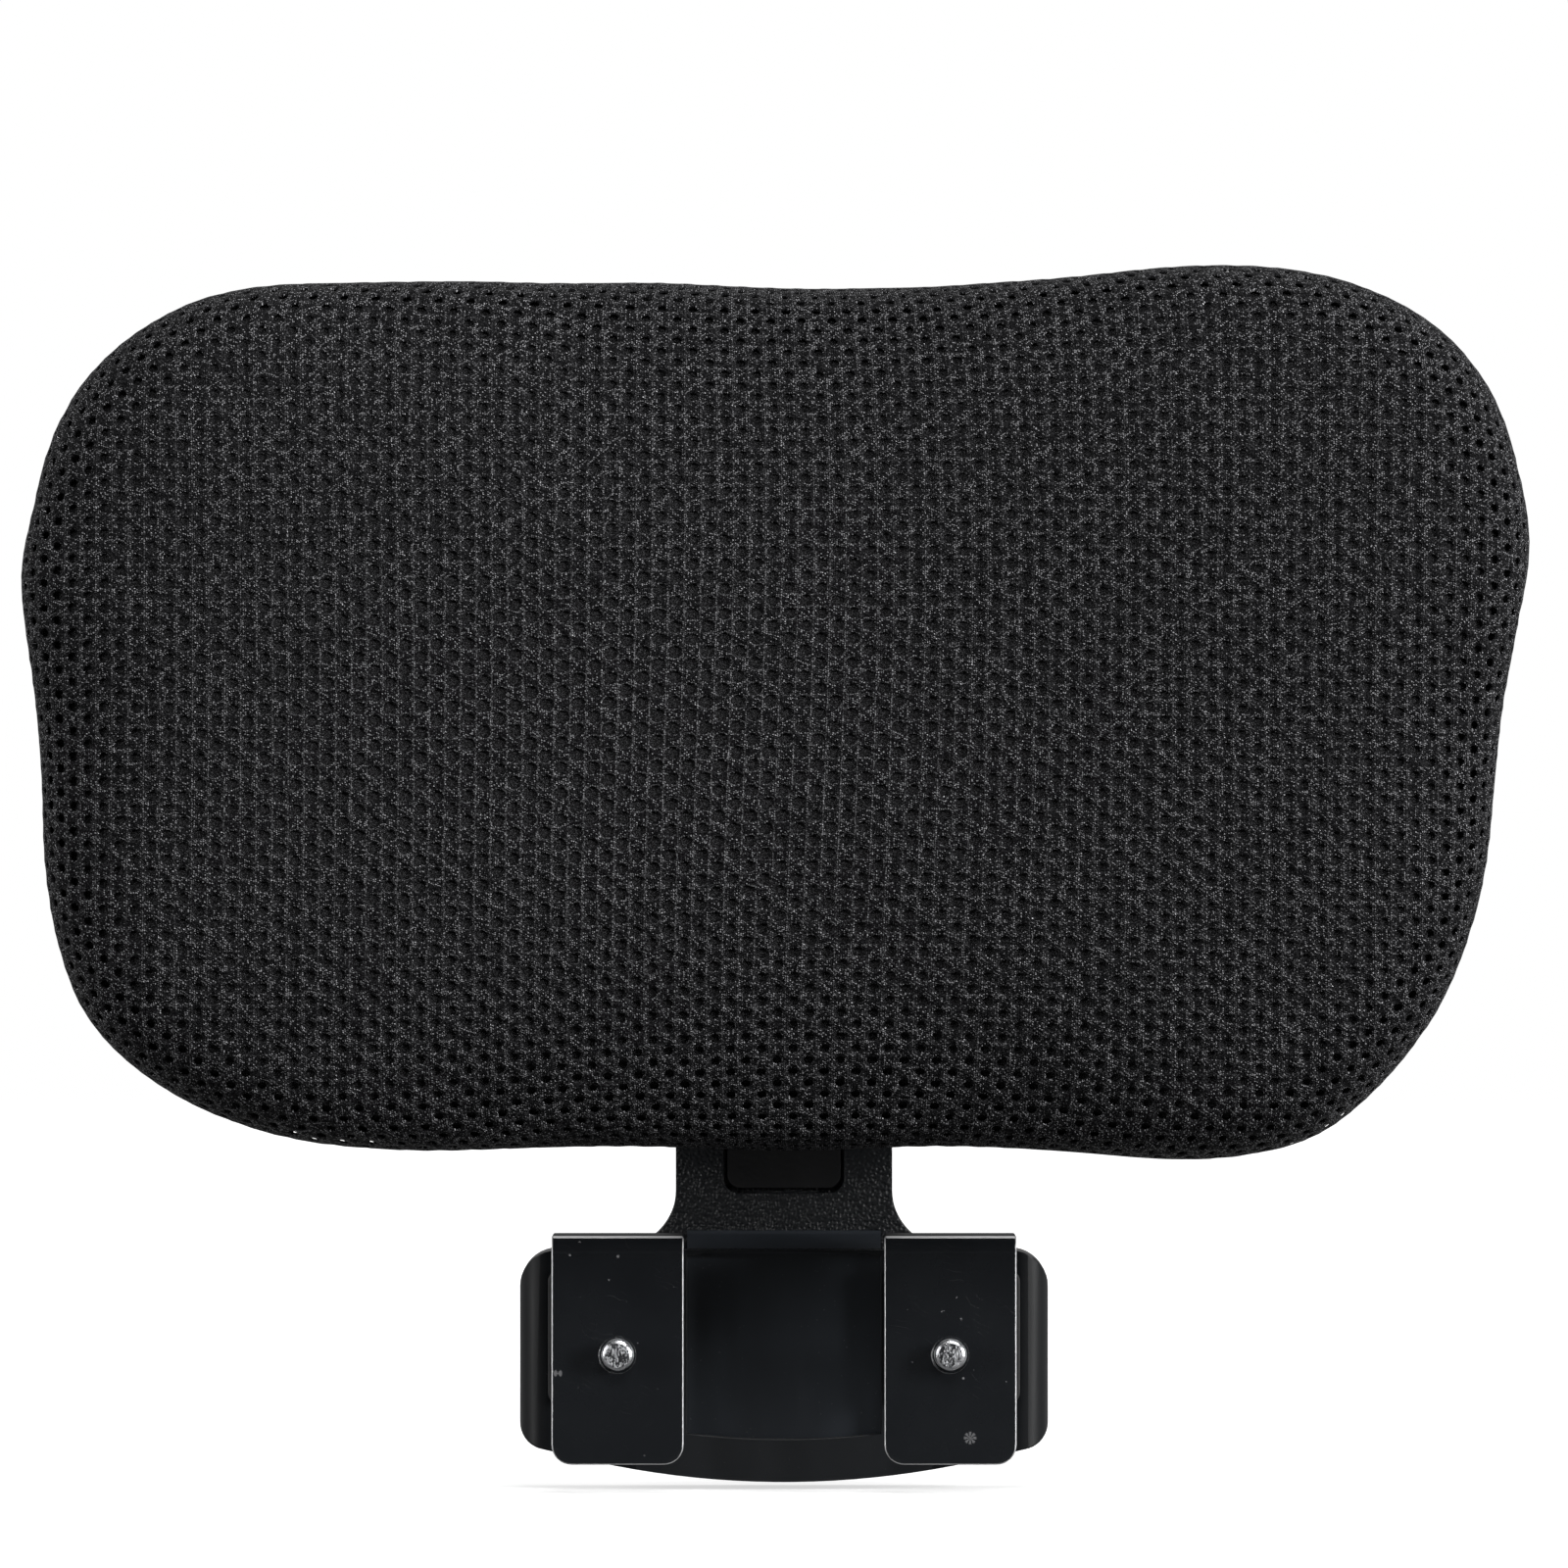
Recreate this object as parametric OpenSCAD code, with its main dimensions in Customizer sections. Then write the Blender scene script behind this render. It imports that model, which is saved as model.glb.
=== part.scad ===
// Clip-on chair headrest: a moulded bracket that clamps over the top rail of a
// chair back with two steel hooks, a height slider in its stem, a friction tilt
// hinge, and a foam cushion in a spacer-mesh cover.
// Row frame, millimetres: X to the right, Y to the back, Z up.
// Origin: middle of the clamp, on the face of the clamp pads (Y = 0), at the
// underside of the hooks' top webs (Z = 0), where the chair rail seats.

/* [Cushion] */
// Width across the widest part of the wings
cushion_w = 301; // [292:1:310]
// Height of the cushion
cushion_h = 173; // [168:1:178]
// Height of the cushion's middle above the rail seat
cushion_z = 105.5; // [104:0.5:108]
// Crown of the front panel in front of the seam
front_crown = 36; // [30:1:40]
// Radius to which the cushion wraps round the head
wrap_r = 500; // [450:10:700]
// Thickness of the spacer-mesh cover
cover_t = 1.8; // [1.2:0.1:2]

/* [Clamp] */
// Gap between pad and hook as shipped
rail_gap = 20; // [18:1:22]
// Sheet thickness of a hook
hook_t = 1.6; // [1.2:0.1:2]
// Width of a hook
hook_w = 26.6; // [24:0.2:28]
// Height of a hook's front leg, below the rail seat
hook_leg = 44.5; // [42:0.5:46]
// Distance of each hook's middle from the centre plane
hook_x = 33.5; // [33:0.1:35]
// Height of the clamp bolts below the rail seat
bolt_z = -22.4; // [-24:0.1:-21]
// Length of a clamp bolt under its head
bolt_len = 45; // [44:1:50]

/* [Bracket] */
// Width of the clamp block
block_w = 107.2; // [106:0.2:110]
// Rear face of the bracket, behind the pads
block_back = 24; // [23:0.5:26]
// Front face of the stem, behind the pads
stem_front = 10; // [10:0.5:11]
// Half width of the stem
stem_hw = 22; // [21:0.5:24]
// Top of the stem
stem_top = 95; // [92:1:100]

/* [Height slide] */
// Travel of the height slide
lift = 40; // [40:10:40]
// Pitch of the detent notches
notch_pitch = 10; // [10:10:10]

/* [Tilt hinge] */
// Height of the tilt pin
hinge_z = 66; // [64:1:68]
// Depth position of the tilt pin
hinge_y = -1; // [-1.5:0.5:-0.5]
// Radius of the tilt pin
pin_r = 3; // [3:0.5:3]

/* [Hidden] */
$fn = 64;
run = 0.05;          // radial running clearance on the tilt pin
bolt_r = 3;          // M6
ew = block_w / 2;
hook_y = -rail_gap;  // rear face of a hook's front leg
chan_hw = 12.2;      // half width of the channel's mouth
chan_bot = 9.4;
tongue_bot = 10.4;
tongue_top = 76;
seam_y = -38;        // seam of the cover at the centre plane
board_y = -18.5;     // rear face of the support board
shell_y = -12;       // rear face of the rear shell
board_t = 4;

// ---------- helpers ----------
function arc(cx, cy, r, a0, a1, n) =
  [for (i = [0:n]) let (a = a0 + (a1 - a0) * i / n) [cx + r * cos(a), cy + r * sin(a)]];
// a right-hand half outline, listed from the top centre down to the bottom centre, and its mirror
function both(h) = concat(h, [for (i = [len(h) - 1:-1:0]) if (h[i][0] > 1e-6) [-h[i][0], h[i][1]]]);

// polygon in XZ, from y0 to y1
module xz(y0, y1) { translate([0, y1, 0]) rotate([90, 0, 0]) linear_extrude(height = y1 - y0) children(); }
// polygon in YZ, w wide, centred on x
module yz(x, w) { translate([x - w / 2, 0, 0]) rotate([90, 0, 90]) linear_extrude(height = w) children(); }
module along_y(r, y0, y1) { translate([0, y1, 0]) rotate([90, 0, 0]) cylinder(r = r, h = y1 - y0); }
module along_x(r, x0, x1) { translate([x0, 0, 0]) rotate([0, 90, 0]) cylinder(r = r, h = x1 - x0); }
module box(x0, x1, y0, y1, z0, z1) { translate([x0, y0, z0]) cube([x1 - x0, y1 - y0, z1 - z0]); }
module round_rect(w, h, r) {
  polygon(concat(arc(w / 2 - r, h / 2 - r, r, 0, 90, 8), arc(-w / 2 + r, h / 2 - r, r, 90, 180, 8),
    arc(-w / 2 + r, -h / 2 + r, r, 180, 270, 8), arc(w / 2 - r, -h / 2 + r, r, 270, 360, 8)));
}

// ---------- clamp bracket ----------
function block_half() = concat([[0, -2]], arc(ew - 7.4, -9.4, 7.4, 90, 0, 10),
  arc(ew - 5.5, -36.9, 5.5, 0, -74, 8),
  [for (x = [46:-4:2]) [x, 131 - sqrt(180 * 180 - x * x)]], [[0, -49]]);
function stem_half() = concat([[0, stem_top]], arc(stem_hw - 6, stem_top - 6, 6, 90, 0, 8),
  arc(stem_hw + 12, 10, 12, -180, -90, 16), [[stem_hw + 12, -8], [0, -8]]);
function recess_half() = concat([for (x = [0:2.8:19.6]) [x, -2.3 - x * x / 430]],
  [for (x = [19.6:-2.8:0]) [x, -40.2 + x * x / 330]]);

module block_plan() {
  polygon(both(concat([[0, block_back]], arc(ew - 2.5, block_back - 2.5, 2.5, 90, 0, 6),
    arc(ew - 6, 7.5, 6, 0, -90, 10), [[0, 1.5]])));
}

module base_bracket() color([0.045, 0.045, 0.05]) difference() {
  union() {
    intersection() {
      xz(1.5, block_back) polygon(both(block_half()));
      translate([0, 0, -60]) linear_extrude(height = 70) block_plan();
    }
    xz(stem_front, block_back) polygon(both(stem_half()));
    // smooth sloping band between the stem and the saddle recess
    yz(0, 39.2) polygon([[1.5, -2.3], [stem_front + 0.5, 1.3], [stem_front + 0.5, -6], [1.5, -6]]);
  }
  // concave saddle recess between the hooks
  intersection() {
    xz(-1, 8) polygon(both(recess_half()));
    translate([0, -91, -60]) cylinder(r = 97, h = 70, $fn = 200);
  }
  // T channel of the height slide, open at the top
  xz(stem_front - 1, 12.4) polygon(both(concat([[0, stem_top + 2], [chan_hw, stem_top + 2]],
    arc(chan_hw - 3, chan_bot + 3, 3, 0, -90, 6), [[0, chan_bot]])));
  box(-15.3, 15.3, 12.4, 15, chan_bot + 0.4, stem_top + 2);
  // detent notches in the channel floor
  for (i = [0:lift / notch_pitch]) yz(0, 12)
    polygon([[14.5, 17 + 2.2 + i * notch_pitch], [14.5, 17 - 2.2 + i * notch_pitch],
      [16, 17 - 0.9 + i * notch_pitch], [16, 17 + 0.9 + i * notch_pitch]]);
  // stop screw hole and seat
  translate([0, 0, 70]) along_y(2.05, 14, 30);
  translate([0, 0, 70]) along_y(4, 21.6, 30);
  // rear pockets of the stem, split by ribs
  for (i = [0:4]) for (s = [-1:1]) if (!(s == 0 && i == 3))
    box(s * 12.9 - 5.65, s * 12.9 + 5.65, 17.8, 30, 3 + i * 17.6, 3 + i * 17.6 + 16);
  // rear pockets of the clamp block
  for (s = [-1, 1]) {
    difference() {
      union() {
        box(s * 37 - 13.6, s * 37 + 13.6, 5.2, 30, -21.6, -5);
        box(s * 37 - 13.6, s * 37 + 13.6, 5.2, 30, -39.2, -23.2);
      }
      translate([s * hook_x, 0, bolt_z]) along_y(9.4, 0, 40);
      box(s * 37 - 20, s * 37 + 20, 4, 31, bolt_z - 0.8, bolt_z + 0.8);
    }
    // clamp bolt hole and counterbore
    translate([s * hook_x, 0, bolt_z]) { along_y(3.3, -5, 30); along_y(7, 18, 30); }
    box(s * 10.9 - 9.6, s * 10.9 + 9.6, 9.6, 30, -21.6, -4.4);
    box(s * 10.9 - 9.6, s * 10.9 + 9.6, 9.6, 30, -42, -23.2);
  }
}

// rubber pad on each clamp face, held by a moulded key in its middle
module clamp_pad(s) color([0.03, 0.03, 0.032]) difference() {
  translate([s * 34, 0, -19.5]) xz(0, 1.45) round_rect(27.6, 27, 2.2);
  translate([s * hook_x, 0, bolt_z]) along_y(3.5, -2, 3);
}

// ---------- steel hooks and clamp bolts ----------
module hook_plate(s) color([0.06, 0.06, 0.065]) difference() {
  union() {
    intersection() {
      yz(s * hook_x, hook_w) polygon(concat([[hook_y - hook_t, -hook_leg]],
        arc(hook_y + 1, -1, 1 + hook_t, 180, 90, 8), [[-0.5, hook_t], [-0.5, 0]],
        arc(hook_y + 1, -1, 1, 90, 180, 6), [[hook_y, -hook_leg]]));
      translate([s * hook_x, 0, 0]) xz(-60, 10) polygon(both(concat([[0, 5], [hook_w / 2, 5]],
        arc(hook_w / 2 - 4, -hook_leg + 4, 4, 0, -90, 8), [[0, -hook_leg]])));
    }
    // extruded and tapped collar on the rail side
    translate([s * hook_x, 0, bolt_z]) along_y(4.6, hook_y - 0.5, hook_y + 2.4);
  }
  translate([s * hook_x, 0, bolt_z]) along_y(bolt_r + 0.05, hook_y - 5, hook_y + 5);
}

bolt_head = 19.4;
// M6 button head: socket, rolled thread drawn as rings of the true pitch
module clamp_bolt(s) color([0.75, 0.76, 0.78]) translate([s * hook_x, bolt_head, bolt_z]) rotate([-90, 0, 0]) difference() {
  rotate_extrude() polygon(concat([[0, -bolt_len], [2.2, -bolt_len], [2.55, -bolt_len + 0.5]],
    [for (i = [0:30]) each [[2.55, -bolt_len + 0.8 + i], [bolt_r, -bolt_len + 1.15 + i], [bolt_r, -bolt_len + 1.3 + i], [2.55, -bolt_len + 1.65 + i]]],
    [[bolt_r, -bolt_len + 32.4], [bolt_r, 0], [5.3, 0]], arc(0.3, -4.06, 6.3, 39.5, 62, 5), [[2.6, 3.3], [0, 3.3]]));
  translate([0, 0, 1.2]) cylinder(r = 4 / sqrt(3), h = 5, $fn = 6);
}

module bolt_washer(s) color([0.7, 0.71, 0.73]) translate([s * hook_x, 0, bolt_z]) difference() {
  along_y(6, 18.05, 19.35);
  along_y(3.2, 17, 21);
}

module height_stop_screw() color([0.7, 0.71, 0.73]) translate([0, 0, 70]) difference() {
  union() { along_y(2, 13.5, 21.65); along_y(3.6, 21.65, 23.9); }
  for (a = [0, 90]) rotate([0, a, 0]) box(-0.55, 0.55, 22.6, 25, -2.2, 2.2);
}

// ---------- height slider ----------
module height_slider() color([0.035, 0.035, 0.038]) difference() {
  union() {
    // tongue seen in the channel's mouth
    xz(10.4, 12.7) polygon(both(concat([[0, tongue_top], [11.6, tongue_top]],
      arc(11.6 - 2.6, tongue_bot + 2.6, 2.6, 0, -90, 6), [[0, tongue_bot]])));
    // flange under the channel's lips
    box(-15, 15, 12.6, 14.7, tongue_bot + 0.4, tongue_top);
    // knuckle on its web, with gussets above and below
    translate([0, hinge_y, hinge_z]) along_x(7, -9, 9);
    box(-9, 9, hinge_y, 10.5, hinge_z - 7, hinge_z + 7);
    yz(0, 4) polygon([[10.5, hinge_z - 20], [10.5, hinge_z], [2, hinge_z], [4, hinge_z - 6.9]]);
  }
  translate([0, hinge_y, hinge_z]) along_x(pin_r + run, -20, 20);
  // slot for the stop screw, pocket for the detent spring
  box(-2.15, 2.15, 13.2, 15, 27.8, 72.2);
  box(-5, 5, 13.2, 15, 11.8, 26.8);
  translate([0, 0, 24.5]) along_y(1.05, 11.5, 15);
}

// leaf spring whose crest sits in a notch
module detent_spring() color([0.8, 0.8, 0.78]) difference() {
  yz(0, 8) polygon([[13.25, 26.4], [13.25, 21.6], [14.05, 18.95], [15.5, 17.5], [15.5, 16.5], [14.15, 15.1], [13.7, 12.2],
    [14.05, 12.1], [14.5, 14.9], [15.85, 16.3], [15.85, 17.7], [14.4, 19.15], [13.6, 21.8], [13.6, 26.4]]);
  translate([0, 0, 24.5]) along_y(1.1, 12, 15);
}
module detent_rivet() color([0.75, 0.75, 0.75]) translate([0, 0, 24.5]) { along_y(1, 11.7, 13.7); along_y(1.9, 13.65, 14.5); }

// ---------- tilt hinge ----------
module hinge_washers() color([0.6, 0.55, 0.35]) for (s = [-1, 1]) translate([0, hinge_y, hinge_z]) difference() {
  along_x(7, s * 9.6 - 0.5, s * 9.6 + 0.5);
  along_x(pin_r + 0.1, -20, 20);
}
module hinge_pin() color([0.75, 0.76, 0.78]) translate([0, hinge_y, hinge_z]) difference() {
  union() { along_x(pin_r, -14.3, 20.6); along_x(5, -17.4, -14.3); }
  translate([-18, 0, 0]) rotate([0, 90, 0]) cylinder(r = 4 / sqrt(3), h = 2.6, $fn = 6);
}
module hinge_nut() color([0.75, 0.76, 0.78]) translate([0, hinge_y, hinge_z]) difference() {
  union() {
    translate([14.3, 0, 0]) rotate([0, 90, 0]) cylinder(r = 10 / sqrt(3), h = 4.4, $fn = 6);
    along_x(4.3, 18.6, 19.8);
  }
  along_x(pin_r + 0.03, 10, 24);
}
pivot_holes = [[-14.5, 49.5], [14.5, 49.5], [-14.5, 86.5], [14.5, 86.5]];
module pivot_bracket() color([0.05, 0.05, 0.055]) difference() {
  union() {
    translate([0, 0, 68]) xz(shell_y + 0.05, shell_y + 3.5) round_rect(42, 48, 5);
    for (s = [-1, 1]) {
      translate([0, hinge_y, hinge_z]) along_x(8, s * 12.2 - 2, s * 12.2 + 2);
      box(s * 12.2 - 2, s * 12.2 + 2, shell_y + 3, hinge_y, hinge_z - 8, hinge_z + 8);
      // gusset behind each ear
      yz(s * 12.2, 4) polygon([[shell_y + 3.4, hinge_z - 12], [shell_y + 3.4, hinge_z + 12], [hinge_y + 1, hinge_z + 7.6], [hinge_y + 1, hinge_z - 7.6]]);
    }
  }
  translate([0, hinge_y, hinge_z]) along_x(pin_r + run, -20, 20);
  for (p = pivot_holes) translate([p[0], 0, p[1]]) along_y(2.2, -16, 0);
}

// pan head screw, its head's underside at y
module pan_screw(x, y, z, len) translate([x, 0, z]) difference() {
  union() { along_y(1.95, y - len, y + 0.1); along_y(3.6, y, y + 2.3); }
  for (a = [0, 90]) rotate([0, a, 0]) box(-0.5, 0.5, y + 0.9, y + 4, -2, 2);
}
module pivot_screws() color([0.7, 0.71, 0.73]) for (p = pivot_holes) pan_screw(p[0], shell_y + 3.55, p[1], 13);

// ---------- cushion ----------
cz = cushion_z;
// outline of the cushion's right half as shares of half its width and height
outline_pts = [[0, 0.983], [0.332, 0.994], [0.598, 1], [0.797, 0.948], [0.917, 0.792], [0.977, 0.572], [1, 0.364],
  [0.973, 0.11], [0.957, -0.179], [0.937, -0.468], [0.884, -0.7], [0.764, -0.884], [0.598, -0.983], [0.332, -1], [0, -1]];
ctrl = both(outline_pts);
nc = len(ctrl);
// Catmull-Rom curve through the control points
function cr(a, b, c, d, t) = 0.5 * (2 * b + (c - a) * t + (2 * a - 5 * b + 4 * c - d) * t * t + (3 * b - a - 3 * c + d) * t * t * t);
function rim(k) = [for (i = [0:nc - 1]) for (j = [0:k - 1])
  let (p = cr(ctrl[(i + nc - 1) % nc], ctrl[i], ctrl[(i + 1) % nc], ctrl[(i + 2) % nc], j / k))
  [p[0] * cushion_w / 2, p[1] * cushion_h / 2]];
function bow(x) = wrap_r - sqrt(wrap_r * wrap_r - x * x);
// one ring of the cushion: share rho of the outline pulled in by inset, y before the wrap is added
function ring(rho, inset, y) = [for (p = rim(2)) let (l = norm(p), q = p * rho * (l - inset) / l) [q[0], y - bow(q[0]), cz + q[1]]];
function flat(l) = [for (a = l) for (b = a) b];

module skin(rings, p0, p1) {
  n = len(rings[0]); m = len(rings);
  polyhedron(points = concat([p0], flat(rings), [p1]), faces = concat(
    [for (j = [0:n - 1]) [0, 1 + (j + 1) % n, 1 + j]],
    flat([for (i = [0:m - 2]) for (j = [0:n - 1]) let (a = 1 + i * n + j, b = 1 + i * n + (j + 1) % n) [[a, b, b + n], [a, b + n, a + n]]]),
    [for (j = [0:n - 1]) [1 + m * n, 1 + (m - 1) * n + j, 1 + (m - 1) * n + (j + 1) % n]]), convexity = 6);
}
module skin_loop(rings) {
  n = len(rings[0]); m = len(rings);
  polyhedron(points = flat(rings), faces = flat([for (i = [0:m - 1]) for (j = [0:n - 1])
    let (a = i * n + j, b = i * n + (j + 1) % n, c = ((i + 1) % m) * n + j, d = ((i + 1) % m) * n + (j + 1) % n) [[a, b, d], [a, d, c]]]), convexity = 6);
}
pn = 2.7; // squareness of the front crown
function crown(rho, t) = t * pow(max(0, 1 - pow(rho, pn)), 1 / pn);
front_rhos = [0.3, 0.5, 0.66, 0.78, 0.87, 0.93, 0.97, 0.99, 1];
function front_rings(inset, t, y0) = [for (r = front_rhos) ring(r, inset, y0 - crown(r, t))];
back_flat = 0.8;  // share of the outline where the back turns flat
function back_turn(a, inset, t) = ring(back_flat + (1 - back_flat) * cos(a), inset, seam_y + t * sin(a));
function rev(l) = [for (i = [len(l) - 1:-1:0]) l[i]];

module mesh_cover_front() color([0.05, 0.05, 0.055])
  skin(concat(front_rings(0, front_crown, seam_y - 0.1), rev(front_rings(cover_t, front_crown - cover_t, seam_y - 0.1))),
    [0, seam_y - 0.1 - front_crown, cz], [0, seam_y - 0.1 - front_crown + cover_t, cz]);
cover_back_y = board_y + 0.6 + cover_t;
module mesh_cover_back() color([0.05, 0.05, 0.055])
  skin_loop(concat(
    [for (a = [0, 15, 35, 55, 75, 90]) back_turn(a, 0, cover_back_y - seam_y)], [ring(0.7, 0, cover_back_y)],
    [ring(0.7, 0, cover_back_y - cover_t)],
    [for (a = [90, 75, 55, 35, 15, 0]) back_turn(a, cover_t, cover_back_y - cover_t - seam_y)]));
foam_in = cover_t + 0.5;
module foam_pad() color([0.18, 0.18, 0.19])
  skin(concat(front_rings(foam_in, front_crown - foam_in - 0.7, seam_y - 0.6),
      [ring(0.99, foam_in, seam_y + 4), ring(0.955, foam_in, seam_y + 10), ring(0.9, foam_in, board_y - board_t - 0.3),
       ring(0.6, foam_in, board_y - board_t - 0.3), ring(0.3, foam_in, board_y - board_t - 0.3)]),
    [0, seam_y - 0.6 - front_crown + foam_in + 0.7, cz], [0, board_y - board_t - 0.3, cz]);

shell_holes = [[-82, 78], [82, 78], [-82, 138], [82, 138]];
module scaled_outline(k) { translate([0, cz]) scale([k, k]) polygon(rim(3)); }
// region between two like cylinders: y0 - bow(x) to y1 - bow(x)
module bowed(y0, y1, k) intersection() {
  xz(-80, 0) scaled_outline(k);
  difference() {
    translate([0, y1 - wrap_r, -20]) cylinder(r = wrap_r, h = 260, $fn = 200);
    translate([0, y0 - wrap_r, -20.5]) cylinder(r = wrap_r, h = 261, $fn = 200);
  }
}
module support_board() color([0.12, 0.12, 0.13]) difference() {
  union() {
    bowed(board_y - board_t, board_y, 0.77);
    for (p = pivot_holes) translate([p[0], 0, p[1]]) along_y(4.2, board_y - 1 - bow(p[0]), shell_y - 2.65 - bow(p[0]) - 0.6);
    for (p = shell_holes) translate([p[0], 0, p[1]]) along_y(4.2, board_y - 1 - bow(p[0]), shell_y - 2.65 - bow(p[0]) - 1.2);
  }
  for (p = pivot_holes) translate([p[0], 0, p[1]]) along_y(2, -60, 0);
  for (p = shell_holes) translate([p[0], 0, p[1]]) along_y(2, -60, 0);
}
module rear_shell() color([0.045, 0.045, 0.05]) difference() {
  bowed(board_y + 0.9 + cover_t, shell_y, 0.74);
  bowed(board_y - 2, shell_y - 2.6, 0.715);
  for (p = pivot_holes) translate([p[0], 0, p[1]]) along_y(2.2, -40, 0);
  for (p = shell_holes) translate([p[0], 0, p[1]]) { along_y(2.2, -60, 0); along_y(4.2, shell_y - bow(p[0]) - 1, 0); }
}
module shell_screws() color([0.12, 0.12, 0.12]) for (p = shell_holes) pan_screw(p[0], shell_y - bow(p[0]) - 0.95, p[1], 8.5);

base_bracket();
clamp_pad(-1);  // left_clamp_pad
clamp_pad(1);  // right_clamp_pad
height_stop_screw();
hook_plate(-1);  // left_hook_plate
hook_plate(1);  // right_hook_plate
clamp_bolt(-1);  // left_clamp_bolt
clamp_bolt(1);  // right_clamp_bolt
bolt_washer(-1);  // left_bolt_washer
bolt_washer(1);  // right_bolt_washer
height_slider();
detent_spring();
detent_rivet();
hinge_washers();
hinge_pin();
hinge_nut();
pivot_bracket();
pivot_screws();
support_board();
rear_shell();
shell_screws();
foam_pad();
mesh_cover_front();
mesh_cover_back();
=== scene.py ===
import bpy, bmesh, math
import numpy as np
from mathutils import Vector, Matrix


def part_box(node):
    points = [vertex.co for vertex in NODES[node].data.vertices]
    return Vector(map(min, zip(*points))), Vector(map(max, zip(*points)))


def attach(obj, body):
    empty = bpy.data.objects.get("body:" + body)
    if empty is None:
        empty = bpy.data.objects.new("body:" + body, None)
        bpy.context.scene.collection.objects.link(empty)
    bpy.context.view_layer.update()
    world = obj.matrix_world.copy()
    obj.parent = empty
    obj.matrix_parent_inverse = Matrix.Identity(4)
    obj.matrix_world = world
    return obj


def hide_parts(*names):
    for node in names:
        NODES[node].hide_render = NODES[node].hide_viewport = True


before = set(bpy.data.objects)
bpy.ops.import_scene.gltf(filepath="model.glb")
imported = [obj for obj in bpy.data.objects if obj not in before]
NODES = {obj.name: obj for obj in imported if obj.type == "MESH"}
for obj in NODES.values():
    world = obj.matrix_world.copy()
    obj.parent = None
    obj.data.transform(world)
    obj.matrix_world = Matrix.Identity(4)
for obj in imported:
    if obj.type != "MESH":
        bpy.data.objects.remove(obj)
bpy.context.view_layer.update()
MM = 0.001
scene = bpy.context.scene

# ------------------------------------------------------------------ helpers
def new_object(name, me):
    ob = bpy.data.objects.new(name, me)
    scene.collection.objects.link(ob)
    return ob

def mesh_from(name, verts, faces, smooth=True):
    me = bpy.data.meshes.new(name)
    me.from_pydata([tuple(v) for v in verts], [], [tuple(f) for f in faces])
    me.update()
    if smooth:
        me.shade_smooth()
    return me

def set_uv(me, name, per_vertex):
    layer = me.uv_layers.new(name=name)
    idx = np.zeros(len(me.loops), np.int32)
    me.loops.foreach_get("vertex_index", idx)
    layer.data.foreach_set("uv", np.asarray(per_vertex, np.float32)[idx].ravel())
    return layer

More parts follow.
